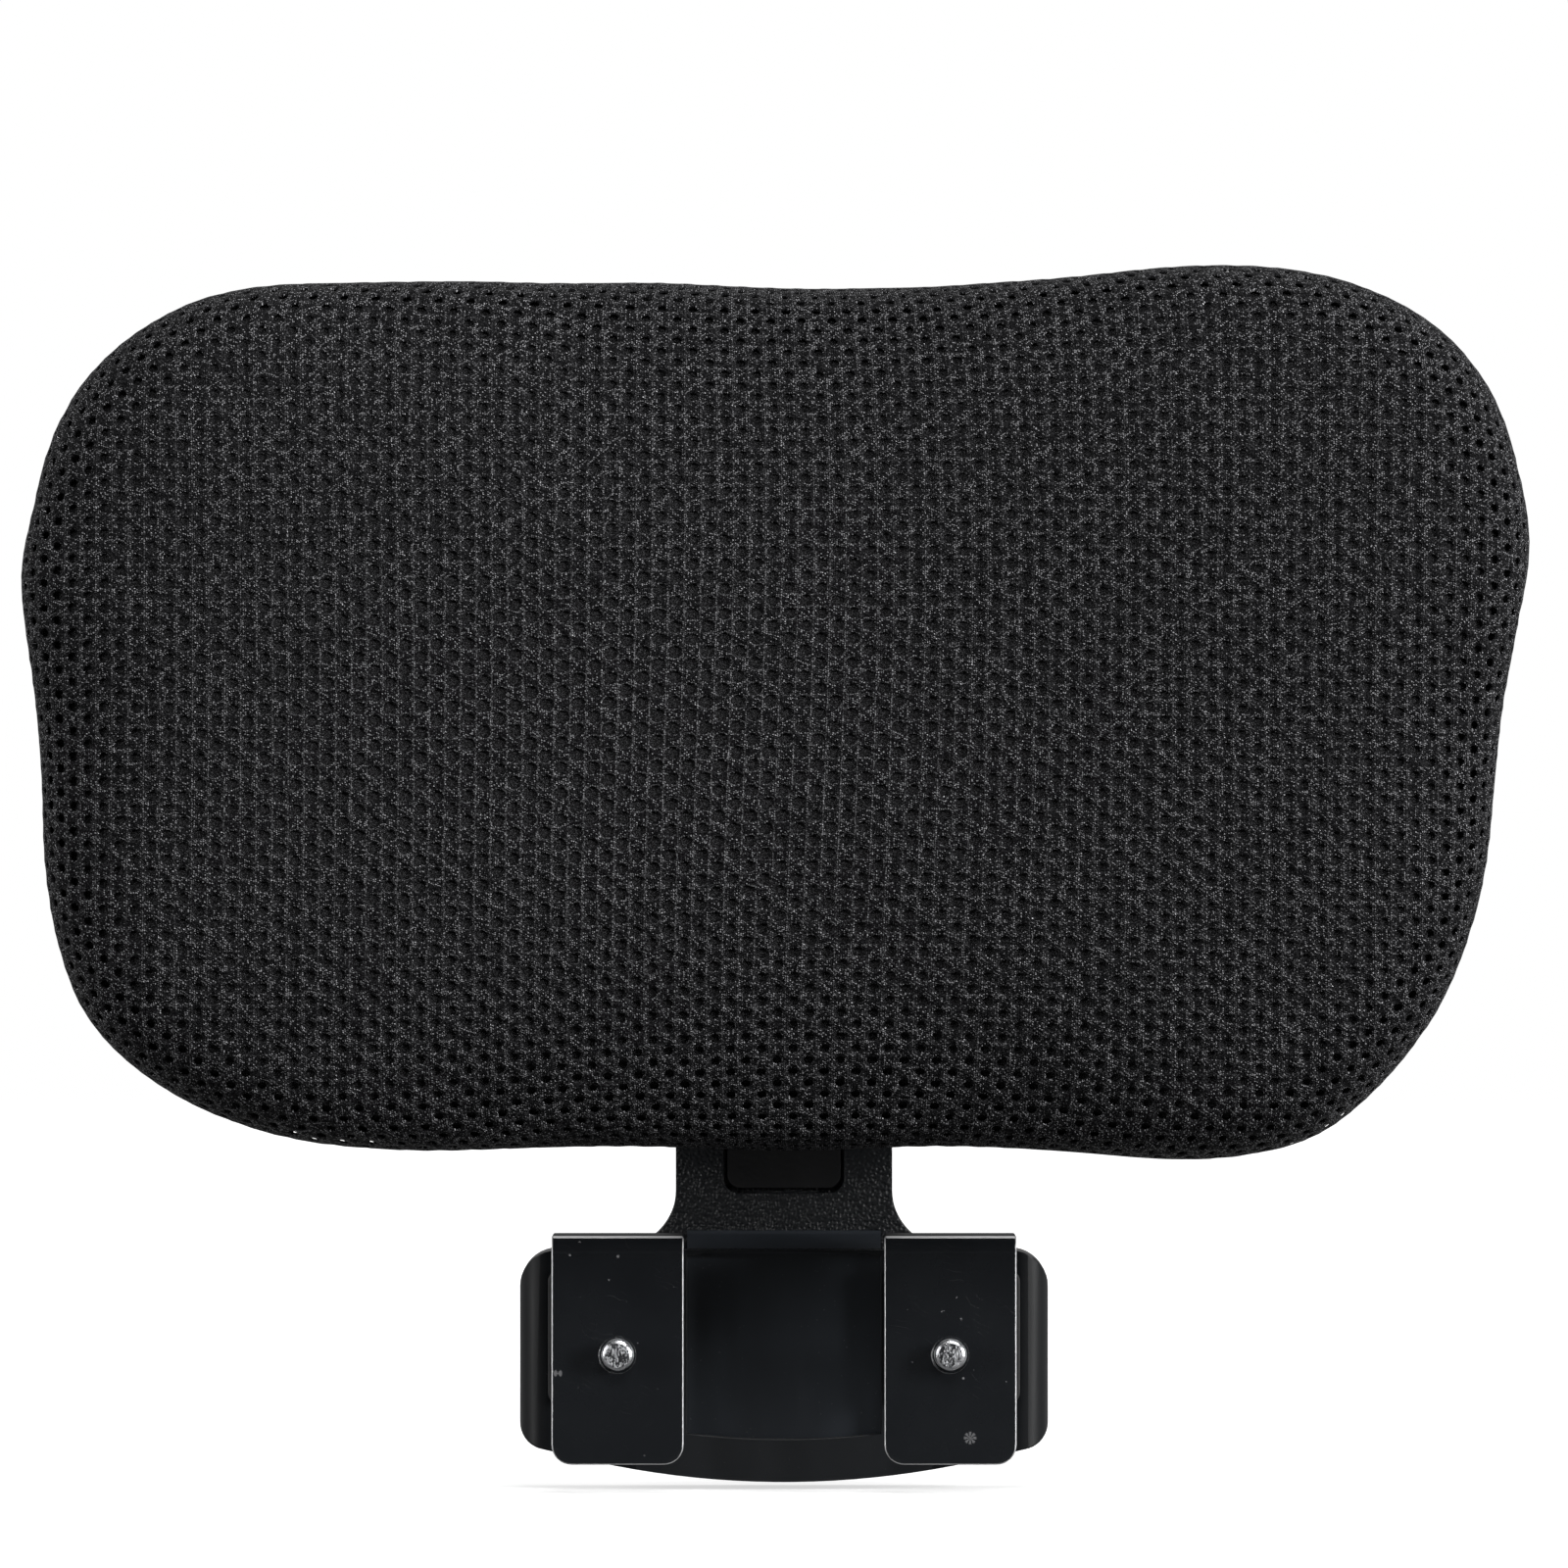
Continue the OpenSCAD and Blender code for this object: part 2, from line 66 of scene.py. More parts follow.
class Mat:
    """Small wrapper to write node materials briefly."""
    def __init__(self, name):
        self.m = bpy.data.materials.new(name)
        self.m.use_nodes = True
        self.t = self.m.node_tree
        self.t.nodes.clear()
        self.out = self.t.nodes.new("ShaderNodeOutputMaterial")
        self.b = self.t.nodes.new("ShaderNodeBsdfPrincipled")
        self.t.links.new(self.b.outputs[0], self.out.inputs[0])
    def n(self, kind, **kw):
        node = self.t.nodes.new("ShaderNode" + kind)
        for k, v in kw.items():
            setattr(node, k, v)
        return node
    def put(self, sock, v):
        if hasattr(v, "is_linked") or isinstance(v, bpy.types.NodeSocket):
            self.t.links.new(v, sock)
        else:
            sock.default_value = v
    def set(self, **kw):
        for k, v in kw.items():
            self.put(self.b.inputs[k.replace("_", " ")], v)
    def math(self, op, a, b=0.0, c=0.0, clamp=False):
        n = self.n("Math", operation=op, use_clamp=clamp)
        self.put(n.inputs[0], a)
        if len(n.inputs) > 1: self.put(n.inputs[1], b)
        if len(n.inputs) > 2: self.put(n.inputs[2], c)
        return n.outputs[0]
    def mix(self, f, a, b):
        n = self.n("Mix", data_type="RGBA")
        self.put(n.inputs[0], f); self.put(n.inputs[6], a); self.put(n.inputs[7], b)
        return n.outputs[2]
    def lerp(self, f, a, b):
        n = self.n("Mix", data_type="FLOAT")
        self.put(n.inputs[0], f); self.put(n.inputs[2], a); self.put(n.inputs[3], b)
        return n.outputs[0]
    def ramp(self, f, lo, hi, a=0.0, b=1.0):
        n = self.n("MapRange", interpolation_type="SMOOTHSTEP")
        self.put(n.inputs[0], f); self.put(n.inputs[1], lo); self.put(n.inputs[2], hi)
        self.put(n.inputs[3], a); self.put(n.inputs[4], b)
        return n.outputs[0]
    def noise(self, vec, scale, detail=3.0, rough=0.55, dist=0.0):
        n = self.n("TexNoise")
        if vec is not None: self.put(n.inputs["Vector"], vec)
        n.inputs["Scale"].default_value = scale
        n.inputs["Detail"].default_value = detail
        n.inputs["Roughness"].default_value = rough
        n.inputs["Distortion"].default_value = dist
        return n.outputs[0]
    def voronoi(self, vec, scale, feature="F1", rnd=1.0):
        n = self.n("TexVoronoi", feature=feature)
        if vec is not None: self.put(n.inputs["Vector"], vec)
        n.inputs["Scale"].default_value = scale
        n.inputs["Randomness"].default_value = rnd
        return n
    def bump(self, height, dist, strength=1.0, normal=None):
        n = self.n("Bump")
        self.put(n.inputs["Height"], height)
        n.inputs["Distance"].default_value = dist
        n.inputs["Strength"].default_value = strength
        if normal is not None: self.put(n.inputs["Normal"], normal)
        return n.outputs[0]
    def objco(self):
        return self.n("TexCoord").outputs["Object"]
    def xyz(self, vec):
        n = self.n("SeparateXYZ"); self.put(n.inputs[0], vec)
        return n.outputs[0], n.outputs[1], n.outputs[2]
    def comb(self, x=0.0, y=0.0, z=0.0):
        n = self.n("CombineXYZ")
        self.put(n.inputs[0], x); self.put(n.inputs[1], y); self.put(n.inputs[2], z)
        return n.outputs[0]
    def white(self, vec):
        n = self.n("TexWhiteNoise", noise_dimensions="3D")
        self.put(n.inputs["Vector"], vec)
        return n.outputs["Value"]

def rgb(r, g=None, b=None):
    return (r, r if g is None else g, r if b is None else b, 1.0)

# ------------------------------------------------------------------ materials
def grained_plastic(name, base=0.0135, rough=0.42, grain=0.00016, smooth_mask=None, tint=(1.0, 1.0, 1.06), cells=900.0):
    """Injection-moulded black plastic with a fine leather-like grain, rubbed lighter in random smears; a mask may scale
    the colour as painted light and shade.
    """
    m = Mat(name)
    co = m.objco()
    big = m.noise(co, 45.0, 3.0)
    cell = m.voronoi(co, cells, "SMOOTH_F1")
    cell.inputs["Smoothness"].default_value = 0.35
    fine = m.noise(co, 2600.0, 3.0, 0.65)
    pits = m.math("MULTIPLY", m.ramp(cell.outputs["Distance"], 0.12, 0.72), 0.8)
    h = m.math("ADD", pits, m.math("MULTIPLY", fine, 0.5))
    spec = 0.5
    if smooth_mask is not None:
        k, gloss, dull, painted_light_scale = smooth_mask(m, co)
        spec = m.lerp(dull, 0.5, 0.22)
        h = m.math("MULTIPLY", h, m.math("SUBTRACT", 1.0, m.math("MULTIPLY", k, 0.985)))
    else:
        k = 0.0
    dust = m.ramp(m.noise(co, 1500.0, 1.0), 0.72, 0.8)
    smear = m.ramp(m.noise(m.comb(*[m.math("MULTIPLY", a, s) for a, s in zip(m.xyz(co), (1.0, 1.0, 0.25))]), 90.0, 4.0), 0.5, 0.8)
    lo = rgb(base * tint[0], base * tint[1], base * tint[2])
    hi = rgb(base * 1.9 * tint[0], base * 1.9 * tint[1], base * 1.95 * tint[2])
    col = m.mix(m.math("ADD", m.math("MULTIPLY", big, 0.45), m.math("MULTIPLY", smear, 0.3)), lo, hi)
    col = m.mix(m.math("MULTIPLY", dust, 0.35), col, rgb(0.09))
    # painted light and shade: the mask's scale makes parts of the one moulding lighter or darker
    if smooth_mask is not None:
        n = m.n("VectorMath", operation="SCALE"); m.put(n.inputs[0], col); m.put(n.inputs["Scale"], painted_light_scale)
        col = n.outputs[0]
    r = m.math("ADD", m.math("ADD", rough - 0.06, m.math("MULTIPLY", big, 0.14)), m.math("MULTIPLY", smear, 0.07))
    if smooth_mask is not None:
        r = m.lerp(gloss, r, m.math("ADD", 0.33, m.math("MULTIPLY", smear, 0.08)))
    m.set(Base_Color=col, Roughness=r, Specular_IOR_Level=spec, Normal=m.bump(h, grain, 0.9))
    return m.m

def recess_mask(m, co):
    # the saddle recess and the sloping band above it are polished in the mould; the clamp block is smooth but dull
    x, y, z = m.xyz(co)
    ax = m.math("ABSOLUTE", x)
    a = m.math("MULTIPLY", m.math("MULTIPLY", m.math("LESS_THAN", ax, 0.0197), m.math("LESS_THAN", z, 0.0018)), m.math("GREATER_THAN", y, 0.0031))
    b = m.math("LESS_THAN", z, -0.002)
    c = m.ramp(z, 0.011, 0.022, 0.0, 0.75)
    grain = m.math("MAXIMUM", m.math("MAXIMUM", a, b), c)
    side = m.math("MULTIPLY", b, m.math("GREATER_THAN", ax, 0.03))
    # painted light and shade, one moulding in several brightnesses: the saddle and the band above it are painted
    # lighter, the saddle more towards its sides where the hook legs shade it and the band most; the rest is painted
    # darker, the clamp block's outer sides darkest
    painted_light_scale = m.lerp(a, 0.72, m.lerp(m.ramp(z, -0.0032, -0.0022), m.ramp(ax, 0.004, 0.018, 1.35, 2.9), 3.4))
    painted_light_scale = m.lerp(side, painted_light_scale, 0.4)
    return grain, m.math("MAXIMUM", a, m.math("MULTIPLY", c, 0.5)), side, painted_light_scale

def black_steel(name, edge_axis=True):
    """Glossy black paint on sheet steel: fine brushing, scuffs, dust and a few chips, thin bright edges painted as bare
    steel, partly wear and partly a painted highlight.
    """
    m = Mat(name)
    co = m.objco()
    x, y, z = m.xyz(co)
    brush = m.noise(m.comb(m.math("MULTIPLY", x, 1.0), y, m.math("MULTIPLY", z, 0.03)), 3500.0, 2.0)
    cloud = m.noise(co, 60.0, 4.0, 0.6)
    chips = m.ramp(m.noise(co, 620.0, 2.5, 0.7), 0.735, 0.76)
    dustn = m.voronoi(co, 420.0)
    pick = m.ramp(m.white(dustn.outputs["Position"]), 0.955, 0.96)
    dust = m.math("MULTIPLY", m.ramp(dustn.outputs["Distance"], 0.17, 0.09), pick)
    wob = m.noise(co, 110.0, 2.0)
    scr = m.math("ADD", m.math("MULTIPLY", x, 260.0), m.math("ADD", m.math("MULTIPLY", z, 700.0), m.math("MULTIPLY", wob, 6.0)))
    line = m.ramp(m.math("ABSOLUTE", m.math("SUBTRACT", m.math("FRACT", scr), 0.5)), 0.006, 0.0)
    line = m.math("MULTIPLY", line, m.ramp(m.noise(co, 170.0, 1.0), 0.62, 0.7))
    marks = m.math("ADD", m.math("ADD", chips, dust), m.math("MULTIPLY", line, 0.45))
    if edge_axis:
        # two dabs where the paint was touched: one like a small star, one a smear by the edge
        for px, pz, pr, arms in ((0.03745, -0.0391, 0.00138, 4.0), (-0.0455, -0.0261, 0.00095, 1.0)):
            ax, az = m.math("SUBTRACT", x, px), m.math("SUBTRACT", z, pz)
            d = m.math("SQRT", m.math("ADD", m.math("MULTIPLY", ax, ax), m.math("MULTIPLY", az, az)))
            star = m.math("ABSOLUTE", m.math("COSINE", m.math("MULTIPLY", m.math("ARCTAN2", az, ax), arms)))
            dab = m.math("MULTIPLY", m.ramp(d, pr, pr * 0.8), m.ramp(m.math("ADD", star, m.noise(co, 3200.0, 2.0)), 0.85, 1.25))
            marks = m.math("ADD", marks, m.math("MULTIPLY", m.math("MULTIPLY", dab, 0.6), m.math("LESS_THAN", y, -0.015)))
    marks = m.math("MINIMUM", marks, 1.0)
    base = m.mix(cloud, rgb(0.0052, 0.0064, 0.0082), rgb(0.0098, 0.0114, 0.0138))
    col = m.mix(m.math("MULTIPLY", marks, 0.75), base, rgb(0.30, 0.30, 0.31))
    r = m.math("ADD", 0.2, m.math("ADD", m.math("MULTIPLY", cloud, 0.14), m.math("MULTIPLY", marks, 0.3)))
    metal = 0.0
    if edge_axis:
        n = m.n("NewGeometry").outputs["Normal"]
        nx, ny, nz = m.xyz(n)
        # bevelled faces looking sideways, down and up get the bright steel colour: partly wear, partly a painted edge
        # highlight
        e = m.math("MAXIMUM", m.math("ABSOLUTE", nx), m.math("MULTIPLY", nz, -1.0))
        e = m.math("MAXIMUM", e, m.math("MULTIPLY", m.math("GREATER_THAN", nz, 0.8), 0.72))
        e = m.math("MULTIPLY", e, m.ramp(m.math("MULTIPLY", ny, -1.0), 0.12, 0.34))      # only the front arris gets it: partly rubbed, partly a painted edge highlight
        wear_and_edge_highlight = m.ramp(m.math("ADD", e, m.math("MULTIPLY", m.math("SUBTRACT", m.noise(co, 800.0, 3.0), 0.5), 0.22)), 0.36, 0.7)
        col = m.mix(m.math("MULTIPLY", wear_and_edge_highlight, 0.95), col, rgb(0.93, 0.93, 0.94))
        metal = m.math("MULTIPLY", wear_and_edge_highlight, 0.7)
        r = m.lerp(wear_and_edge_highlight, r, 0.42)
    h = m.math("ADD", m.math("MULTIPLY", brush, 0.2), m.math("ADD", m.math("MULTIPLY", marks, 0.7), m.math("MULTIPLY", m.noise(co, 900.0, 2.0), 0.35)))
    coat, spec = 0.35, 0.5
    if edge_axis:
        bend = m.math("MULTIPLY", m.ramp(z, -0.0022, -0.0012), m.math("SUBTRACT", 1.0, wear_and_edge_highlight))
        coat = m.math("MULTIPLY", m.math("SUBTRACT", 1.0, bend), 0.35)
        spec = m.lerp(bend, 0.5, 0.12)
        r = m.lerp(bend, r, 0.6)
    m.set(Base_Color=col, Roughness=r, Metallic=metal, Coat_Weight=coat, Coat_Roughness=0.12, Specular_IOR_Level=spec, Normal=m.bump(h, 0.00004, 0.8))
    return m.m

def plated_steel(name, base=(0.62, 0.63, 0.65), rough=0.24, dirt=0.5, end_y=None):
    """Bright zinc-plated steel, with darker patches at random and a rough sheared look."""
    m = Mat(name)
    co = m.objco()
    cloud = m.noise(co, 700.0, 4.0, 0.6)
    fine = m.noise(co, 4200.0, 2.0)
    spots = m.ramp(m.noise(co, 1500.0, 2.0), 0.6, 0.75)
    col = m.mix(m.math("MULTIPLY", m.ramp(cloud, 0.35, 0.7), dirt), rgb(*base), rgb(base[0] * 0.45, base[1] * 0.45, base[2] * 0.5))
    col = m.mix(m.math("MULTIPLY", spots, 0.35), col, rgb(0.2, 0.19, 0.18))
    r = m.math("ADD", rough, m.math("ADD", m.math("MULTIPLY", cloud, 0.16), m.math("MULTIPLY", spots, 0.2)))
    h, dist = m.math("ADD", cloud, fine), 0.00003
    if end_y is not None:
        # the sheared end: dull, with dark scores
        face = m.math("LESS_THAN", m.xyz(co)[1], end_y)
        score = m.ramp(m.noise(m.comb(*[m.math("MULTIPLY", a, s) for a, s in zip(m.xyz(co), (1.0, 1.0, 0.45))]), 1500.0, 3.0, 0.7, 1.2), 0.46, 0.6)
        col = m.mix(m.math("MULTIPLY", face, m.math("SUBTRACT", 1.0, m.math("MULTIPLY", score, 0.75))), col, rgb(0.055, 0.056, 0.06))
        r = m.lerp(face, r, 0.5)
        h = m.math("ADD", h, m.math("MULTIPLY", m.math("MULTIPLY", score, face), 3.0)); dist = 0.00006
    m.set(Base_Color=col, Metallic=1.0, Roughness=r, Normal=m.bump(h, dist, 0.7))
    return m.m

def rubber(name):
    m = Mat(name)
    co = m.objco()
    n1 = m.noise(co, 260.0, 4.0)
    n2 = m.noise(co, 2400.0, 3.0, 0.7)
    col = m.mix(n1, rgb(0.012, 0.012, 0.0125), rgb(0.026, 0.026, 0.027))
    m.set(Base_Color=col, Roughness=m.math("ADD", 0.55, m.math("MULTIPLY", n1, 0.25)), Normal=m.bump(m.math("ADD", n2, m.math("MULTIPLY", n1, 0.5)), 0.00008, 0.8))
    return m.m

CS, PT = 3.14, 4.97           # column spacing and pitch of the holes, millimetres
HA, HB = 1.50, 1.30           # half width and half height of a hole

def hole_field(m, x, y):
    """0 at the middle of the nearest hole, 1 on its lip; x, y in flat millimetres."""
    def one(ax, ay):
        dx = m.math("DIVIDE", m.math("WRAP", ax, CS, -CS), HA)
        dy = m.math("DIVIDE", m.math("WRAP", ay, PT / 2, -PT / 2), HB)
        return m.math("SQRT", m.math("ADD", m.math("MULTIPLY", dx, dx), m.math("MULTIPLY", dy, dy)))
    return m.math("MINIMUM", one(x, y), one(m.math("ADD", x, CS), m.math("ADD", y, PT / 2)))

def open_share(u, v):
    """How far the openings are pulled open: most left of the middle, least where the cover turns over."""
    return 0.66 + 0.34 * np.exp(-((u + 38.0) / 92.0) ** 2 - ((v + 4.0) / 50.0) ** 2)

def tick_field(m, x, y, ox, oy, turn, la, lb):
    """A short slanting loop leg beside every hole, 1 in its middle."""
    c, s = math.cos(turn), math.sin(turn)
    def one(ax, ay):
        dx = m.math("WRAP", m.math("SUBTRACT", ax, ox), CS, -CS); dy = m.math("WRAP", m.math("SUBTRACT", ay, oy), PT / 2, -PT / 2)
        p = m.math("DIVIDE", m.math("ADD", m.math("MULTIPLY", dx, c), m.math("MULTIPLY", dy, s)), la)
        q = m.math("DIVIDE", m.math("SUBTRACT", m.math("MULTIPLY", dy, c), m.math("MULTIPLY", dx, s)), lb)
        return m.math("SQRT", m.math("ADD", m.math("MULTIPLY", p, p), m.math("MULTIPLY", q, q)))
    d = m.math("MINIMUM", one(x, y), one(m.math("ADD", x, CS), m.math("ADD", y, PT / 2)))
    return m.ramp(d, 1.0, 0.45)

def foam_material(name):
    """Inner layer of the spacer fabric seen through the holes: grey fuzz crossed by fine filaments."""
    m = Mat(name)
    uv = m.n("UVMap", uv_map="flat").outputs[0]
    sx, sy, _ = m.xyz(uv)
    a = m.noise(uv, 26.0, 2.0, 0.7)
    w = m.noise(m.comb(m.math("MULTIPLY", sx, 0.5), sy, 0.0), 40.0, 2.0, 0.6, 0.6)
    c1 = m.ramp(m.noise(m.comb(m.math("MULTIPLY", m.math("ADD", sx, sy), 0.4), m.math("SUBTRACT", sy, sx), 4.0), 38.0, 1.0, 0.6), 0.55, 0.66)
    c2 = m.ramp(m.noise(m.comb(m.math("MULTIPLY", m.math("SUBTRACT", sx, sy), 0.4), m.math("ADD", sy, sx), 8.0), 38.0, 1.0, 0.6), 0.55, 0.66)
    c = m.math("MAXIMUM", c1, c2)
    col = m.mix(m.math("MULTIPLY", a, w), rgb(0.002, 0.002, 0.0023), rgb(0.020, 0.020, 0.0215))
    col = m.mix(m.math("MULTIPLY", c, 0.6), col, rgb(0.115, 0.115, 0.121))
    m.set(Base_Color=col, Roughness=0.62, Specular_IOR_Level=0.12, Normal=m.bump(m.math("ADD", w, a), 0.0005, 0.9))
    return m.m

def knit_material(name):
    """Warp-knitted spacer mesh: dotted stitch heads between the holes, with painted highlights in the colour: a bright
    thread up each column edge and round each hole, glinting loop legs and stitch heads, every filament catching the
    light on its own."""
    m = Mat(name)
    uv = m.n("UVMap", uv_map="flat").outputs[0]      # 1 unit = 10 mm
    sx, sy, _ = m.xyz(uv)
    x = m.math("MULTIPLY", sx, 10.0); y = m.math("MULTIPLY", sy, 10.0)
    aux = m.xyz(m.n("UVMap", uv_map="aux").outputs[0])
    e = m.math("DIVIDE", hole_field(m, x, y), aux[0])
    wob = m.math("SUBTRACT", m.noise(uv, 6.0, 2.0), 0.5)
    wx = m.math("ADD", x, m.math("MULTIPLY", m.math("SUBTRACT", m.noise(m.comb(x, y, 3.0), 0.55, 2.0), 0.5), 1.0))
    wy = m.math("ADD", y, m.math("MULTIPLY", m.math("SUBTRACT", m.noise(m.comb(x, y, 5.0), 0.55, 2.0), 0.5), 1.0))
    # loop legs, painted as highlights: they lean one way above the middle and the other way below it
    up = m.ramp(m.math("ADD", aux[1], m.math("MULTIPLY", wob, 0.5)), -0.12, 0.12)
    t1 = m.math("MAXIMUM", tick_field(m, wx, wy, -1.15, 1.15, 0.60, 0.9, 0.15), m.math("MULTIPLY", tick_field(m, wx, wy, 1.05, -1.20, 0.55, 0.7, 0.14), 0.8))
    t2 = m.math("MAXIMUM", tick_field(m, wx, wy, 1.15, 1.15, -0.60, 0.9, 0.15), m.math("MULTIPLY", tick_field(m, wx, wy, -1.05, -1.20, -0.55, 0.7, 0.14), 0.8))
    painted_leg_glint = m.lerp(up, m.math("MAXIMUM", t2, m.math("MULTIPLY", t1, 0.25)), m.math("MAXIMUM", t1, m.math("MULTIPLY", t2, 0.25)))
    painted_leg_glint = m.math("MULTIPLY", painted_leg_glint, m.ramp(m.noise(m.comb(x, y, 11.0), 2.6, 2.0, 0.7), 0.36, 0.6))
    # stitch heads; some carry a painted glint and a few a painted sparkle
    v = m.voronoi(m.comb(m.math("DIVIDE", x, 0.45), m.math("ADD", m.math("DIVIDE", y, 0.42), m.math("MULTIPLY", x, 0.8)), 0.0), 1.0, "F1", 0.55)
    d = v.outputs["Distance"]
    cr, cg, cb = m.xyz(v.outputs["Color"])
    head = m.ramp(d, 0.62, 0.20)
    painted_glint = m.math("MULTIPLY", m.ramp(d, 0.44, 0.20), m.ramp(cr, 0.18, 0.75))
    mid = m.ramp(aux[0], 0.72, 0.93)
    painted_sparkle = m.math("MULTIPLY", m.ramp(d, 0.36, 0.14), m.ramp(cg, 0.86, 1.0))
    # fine filaments inside a stitch
    fib = m.noise(m.comb(m.math("MULTIPLY", x, 1.6), m.math("MULTIPLY", y, 1.0), 0.0), 1.9, 2.0, 0.75)
    fibs = m.ramp(fib, 0.48, 0.66)
    # column threads and hole threads, painted as highlights
    cx = m.math("ABSOLUTE", m.math("WRAP", m.math("ADD", m.math("ADD", x, CS / 2), m.math("MULTIPLY", wob, 0.5)), CS / 2, -CS / 2))
    col_t = m.math("MULTIPLY", m.ramp(cx, 0.17, 0.07), m.ramp(m.noise(m.comb(x, m.math("MULTIPLY", y, 1.4), 2.0), 1.6, 2.0), 0.40, 0.62))
    ring = m.math("MULTIPLY", m.ramp(m.math("ABSOLUTE", m.math("SUBTRACT", e, m.math("ADD", 1.12, m.math("MULTIPLY", wob, 0.12)))), 0.085, 0.035),
                  m.ramp(m.noise(m.comb(x, y, 9.0), 1.3, 2.0), 0.40, 0.58))
    big = m.noise(uv, 0.5, 3.0)
    # each painted thread highlight is broken into short lengths, as if each length faced its own way
    brk = m.ramp(m.noise(m.comb(m.math("MULTIPLY", x, 1.3), m.math("MULTIPLY", y, 1.5), 7.0), 1.7, 2.0, 0.7), 0.42, 0.56)
    thread = m.math("MAXIMUM", m.math("MULTIPLY", m.math("MULTIPLY", m.math("MAXIMUM", col_t, m.math("MULTIPLY", ring, 0.7)), m.lerp(mid, 0.35, 0.85)), brk),
                    m.math("MULTIPLY", painted_leg_glint, m.lerp(mid, 1.0, 0.4)))
    col = m.mix(head, rgb(0.0022, 0.0022, 0.0027), rgb(0.0075, 0.0075, 0.0084))
    col = m.mix(m.math("MULTIPLY", fibs, 0.4), col, rgb(0.065, 0.065, 0.069))
    # painted highlights: glints, thread highlights and sparkles are put into the base colour
    col = m.mix(m.math("MULTIPLY", painted_glint, 0.95), col, rgb(0.30, 0.30, 0.313))
    col = m.mix(m.math("MULTIPLY", thread, 0.62), col, rgb(0.36, 0.36, 0.374))
    col = m.mix(m.math("MULTIPLY", painted_sparkle, 0.95), col, rgb(0.62, 0.62, 0.64))
    col = m.mix(m.math("MULTIPLY", big, 0.2), col, rgb(0.008, 0.008, 0.0088))
    h = m.math("ADD", m.math("MULTIPLY", head, 0.9), m.math("ADD", m.math("MULTIPLY", fib, 0.6), m.math("MULTIPLY", thread, 0.5)))
    spec = m.math("ADD", 0.05, m.math("ADD", m.math("MULTIPLY", painted_glint, 0.45), m.math("ADD", m.math("MULTIPLY", painted_sparkle, 0.5), m.math("MULTIPLY", thread, 0.35))))
    m.set(Base_Color=col, Roughness=m.math("SUBTRACT", 0.58, m.math("MULTIPLY", painted_glint, 0.18)), Specular_IOR_Level=spec,
          Normal=m.bump(h, 0.00022, 1.0))
    return m.m

def thread_material(name):
    m = Mat(name)
    co = m.objco()
    f = m.noise(co, 3200.0, 2.0)
    m.set(Base_Color=m.mix(f, rgb(0.008), rgb(0.045)), Roughness=0.6, Sheen_Weight=0.1, Normal=m.bump(f, 0.0001, 0.8))
    return m.m

def board_material(name):
    m = Mat(name)
    co = m.objco()
    f = m.noise(co, 300.0, 4.0)
    m.set(Base_Color=m.mix(f, rgb(0.05), rgb(0.09)), Roughness=m.math("ADD", 0.45, m.math("MULTIPLY", f, 0.2)), Normal=m.bump(f, 0.0001, 0.5))
    return m.m

M_BASE = grained_plastic("bracket_plastic", 0.0125, 0.43, 0.00030, recess_mask, (0.86, 1.0, 1.2), cells=1250.0)
M_SHELL = grained_plastic("shell_plastic", 0.014, 0.5, 0.00020)
M_PIVOT = grained_plastic("pivot_plastic", 0.0125, 0.42, 0.00012)
M_SLIDER = grained_plastic("slider_plastic", 0.0105, 0.3, 0.00003)
M_HOOK = black_steel("hook_paint")
M_BLACKSCREW = black_steel("black_screw", False)
M_BOLT = plated_steel("bolt_steel", (0.86, 0.87, 0.89), 0.2, 0.4, -0.02556)
M_ZINC = plated_steel("zinc_steel", (0.55, 0.56, 0.58), 0.28, 0.5)
M_RUBBER = rubber("pad_rubber")
M_FOAM = foam_material("spacer_inner")
M_KNIT = knit_material("spacer_knit")
M_THREAD = thread_material("seam_thread")
M_BOARD = board_material("board_plastic")

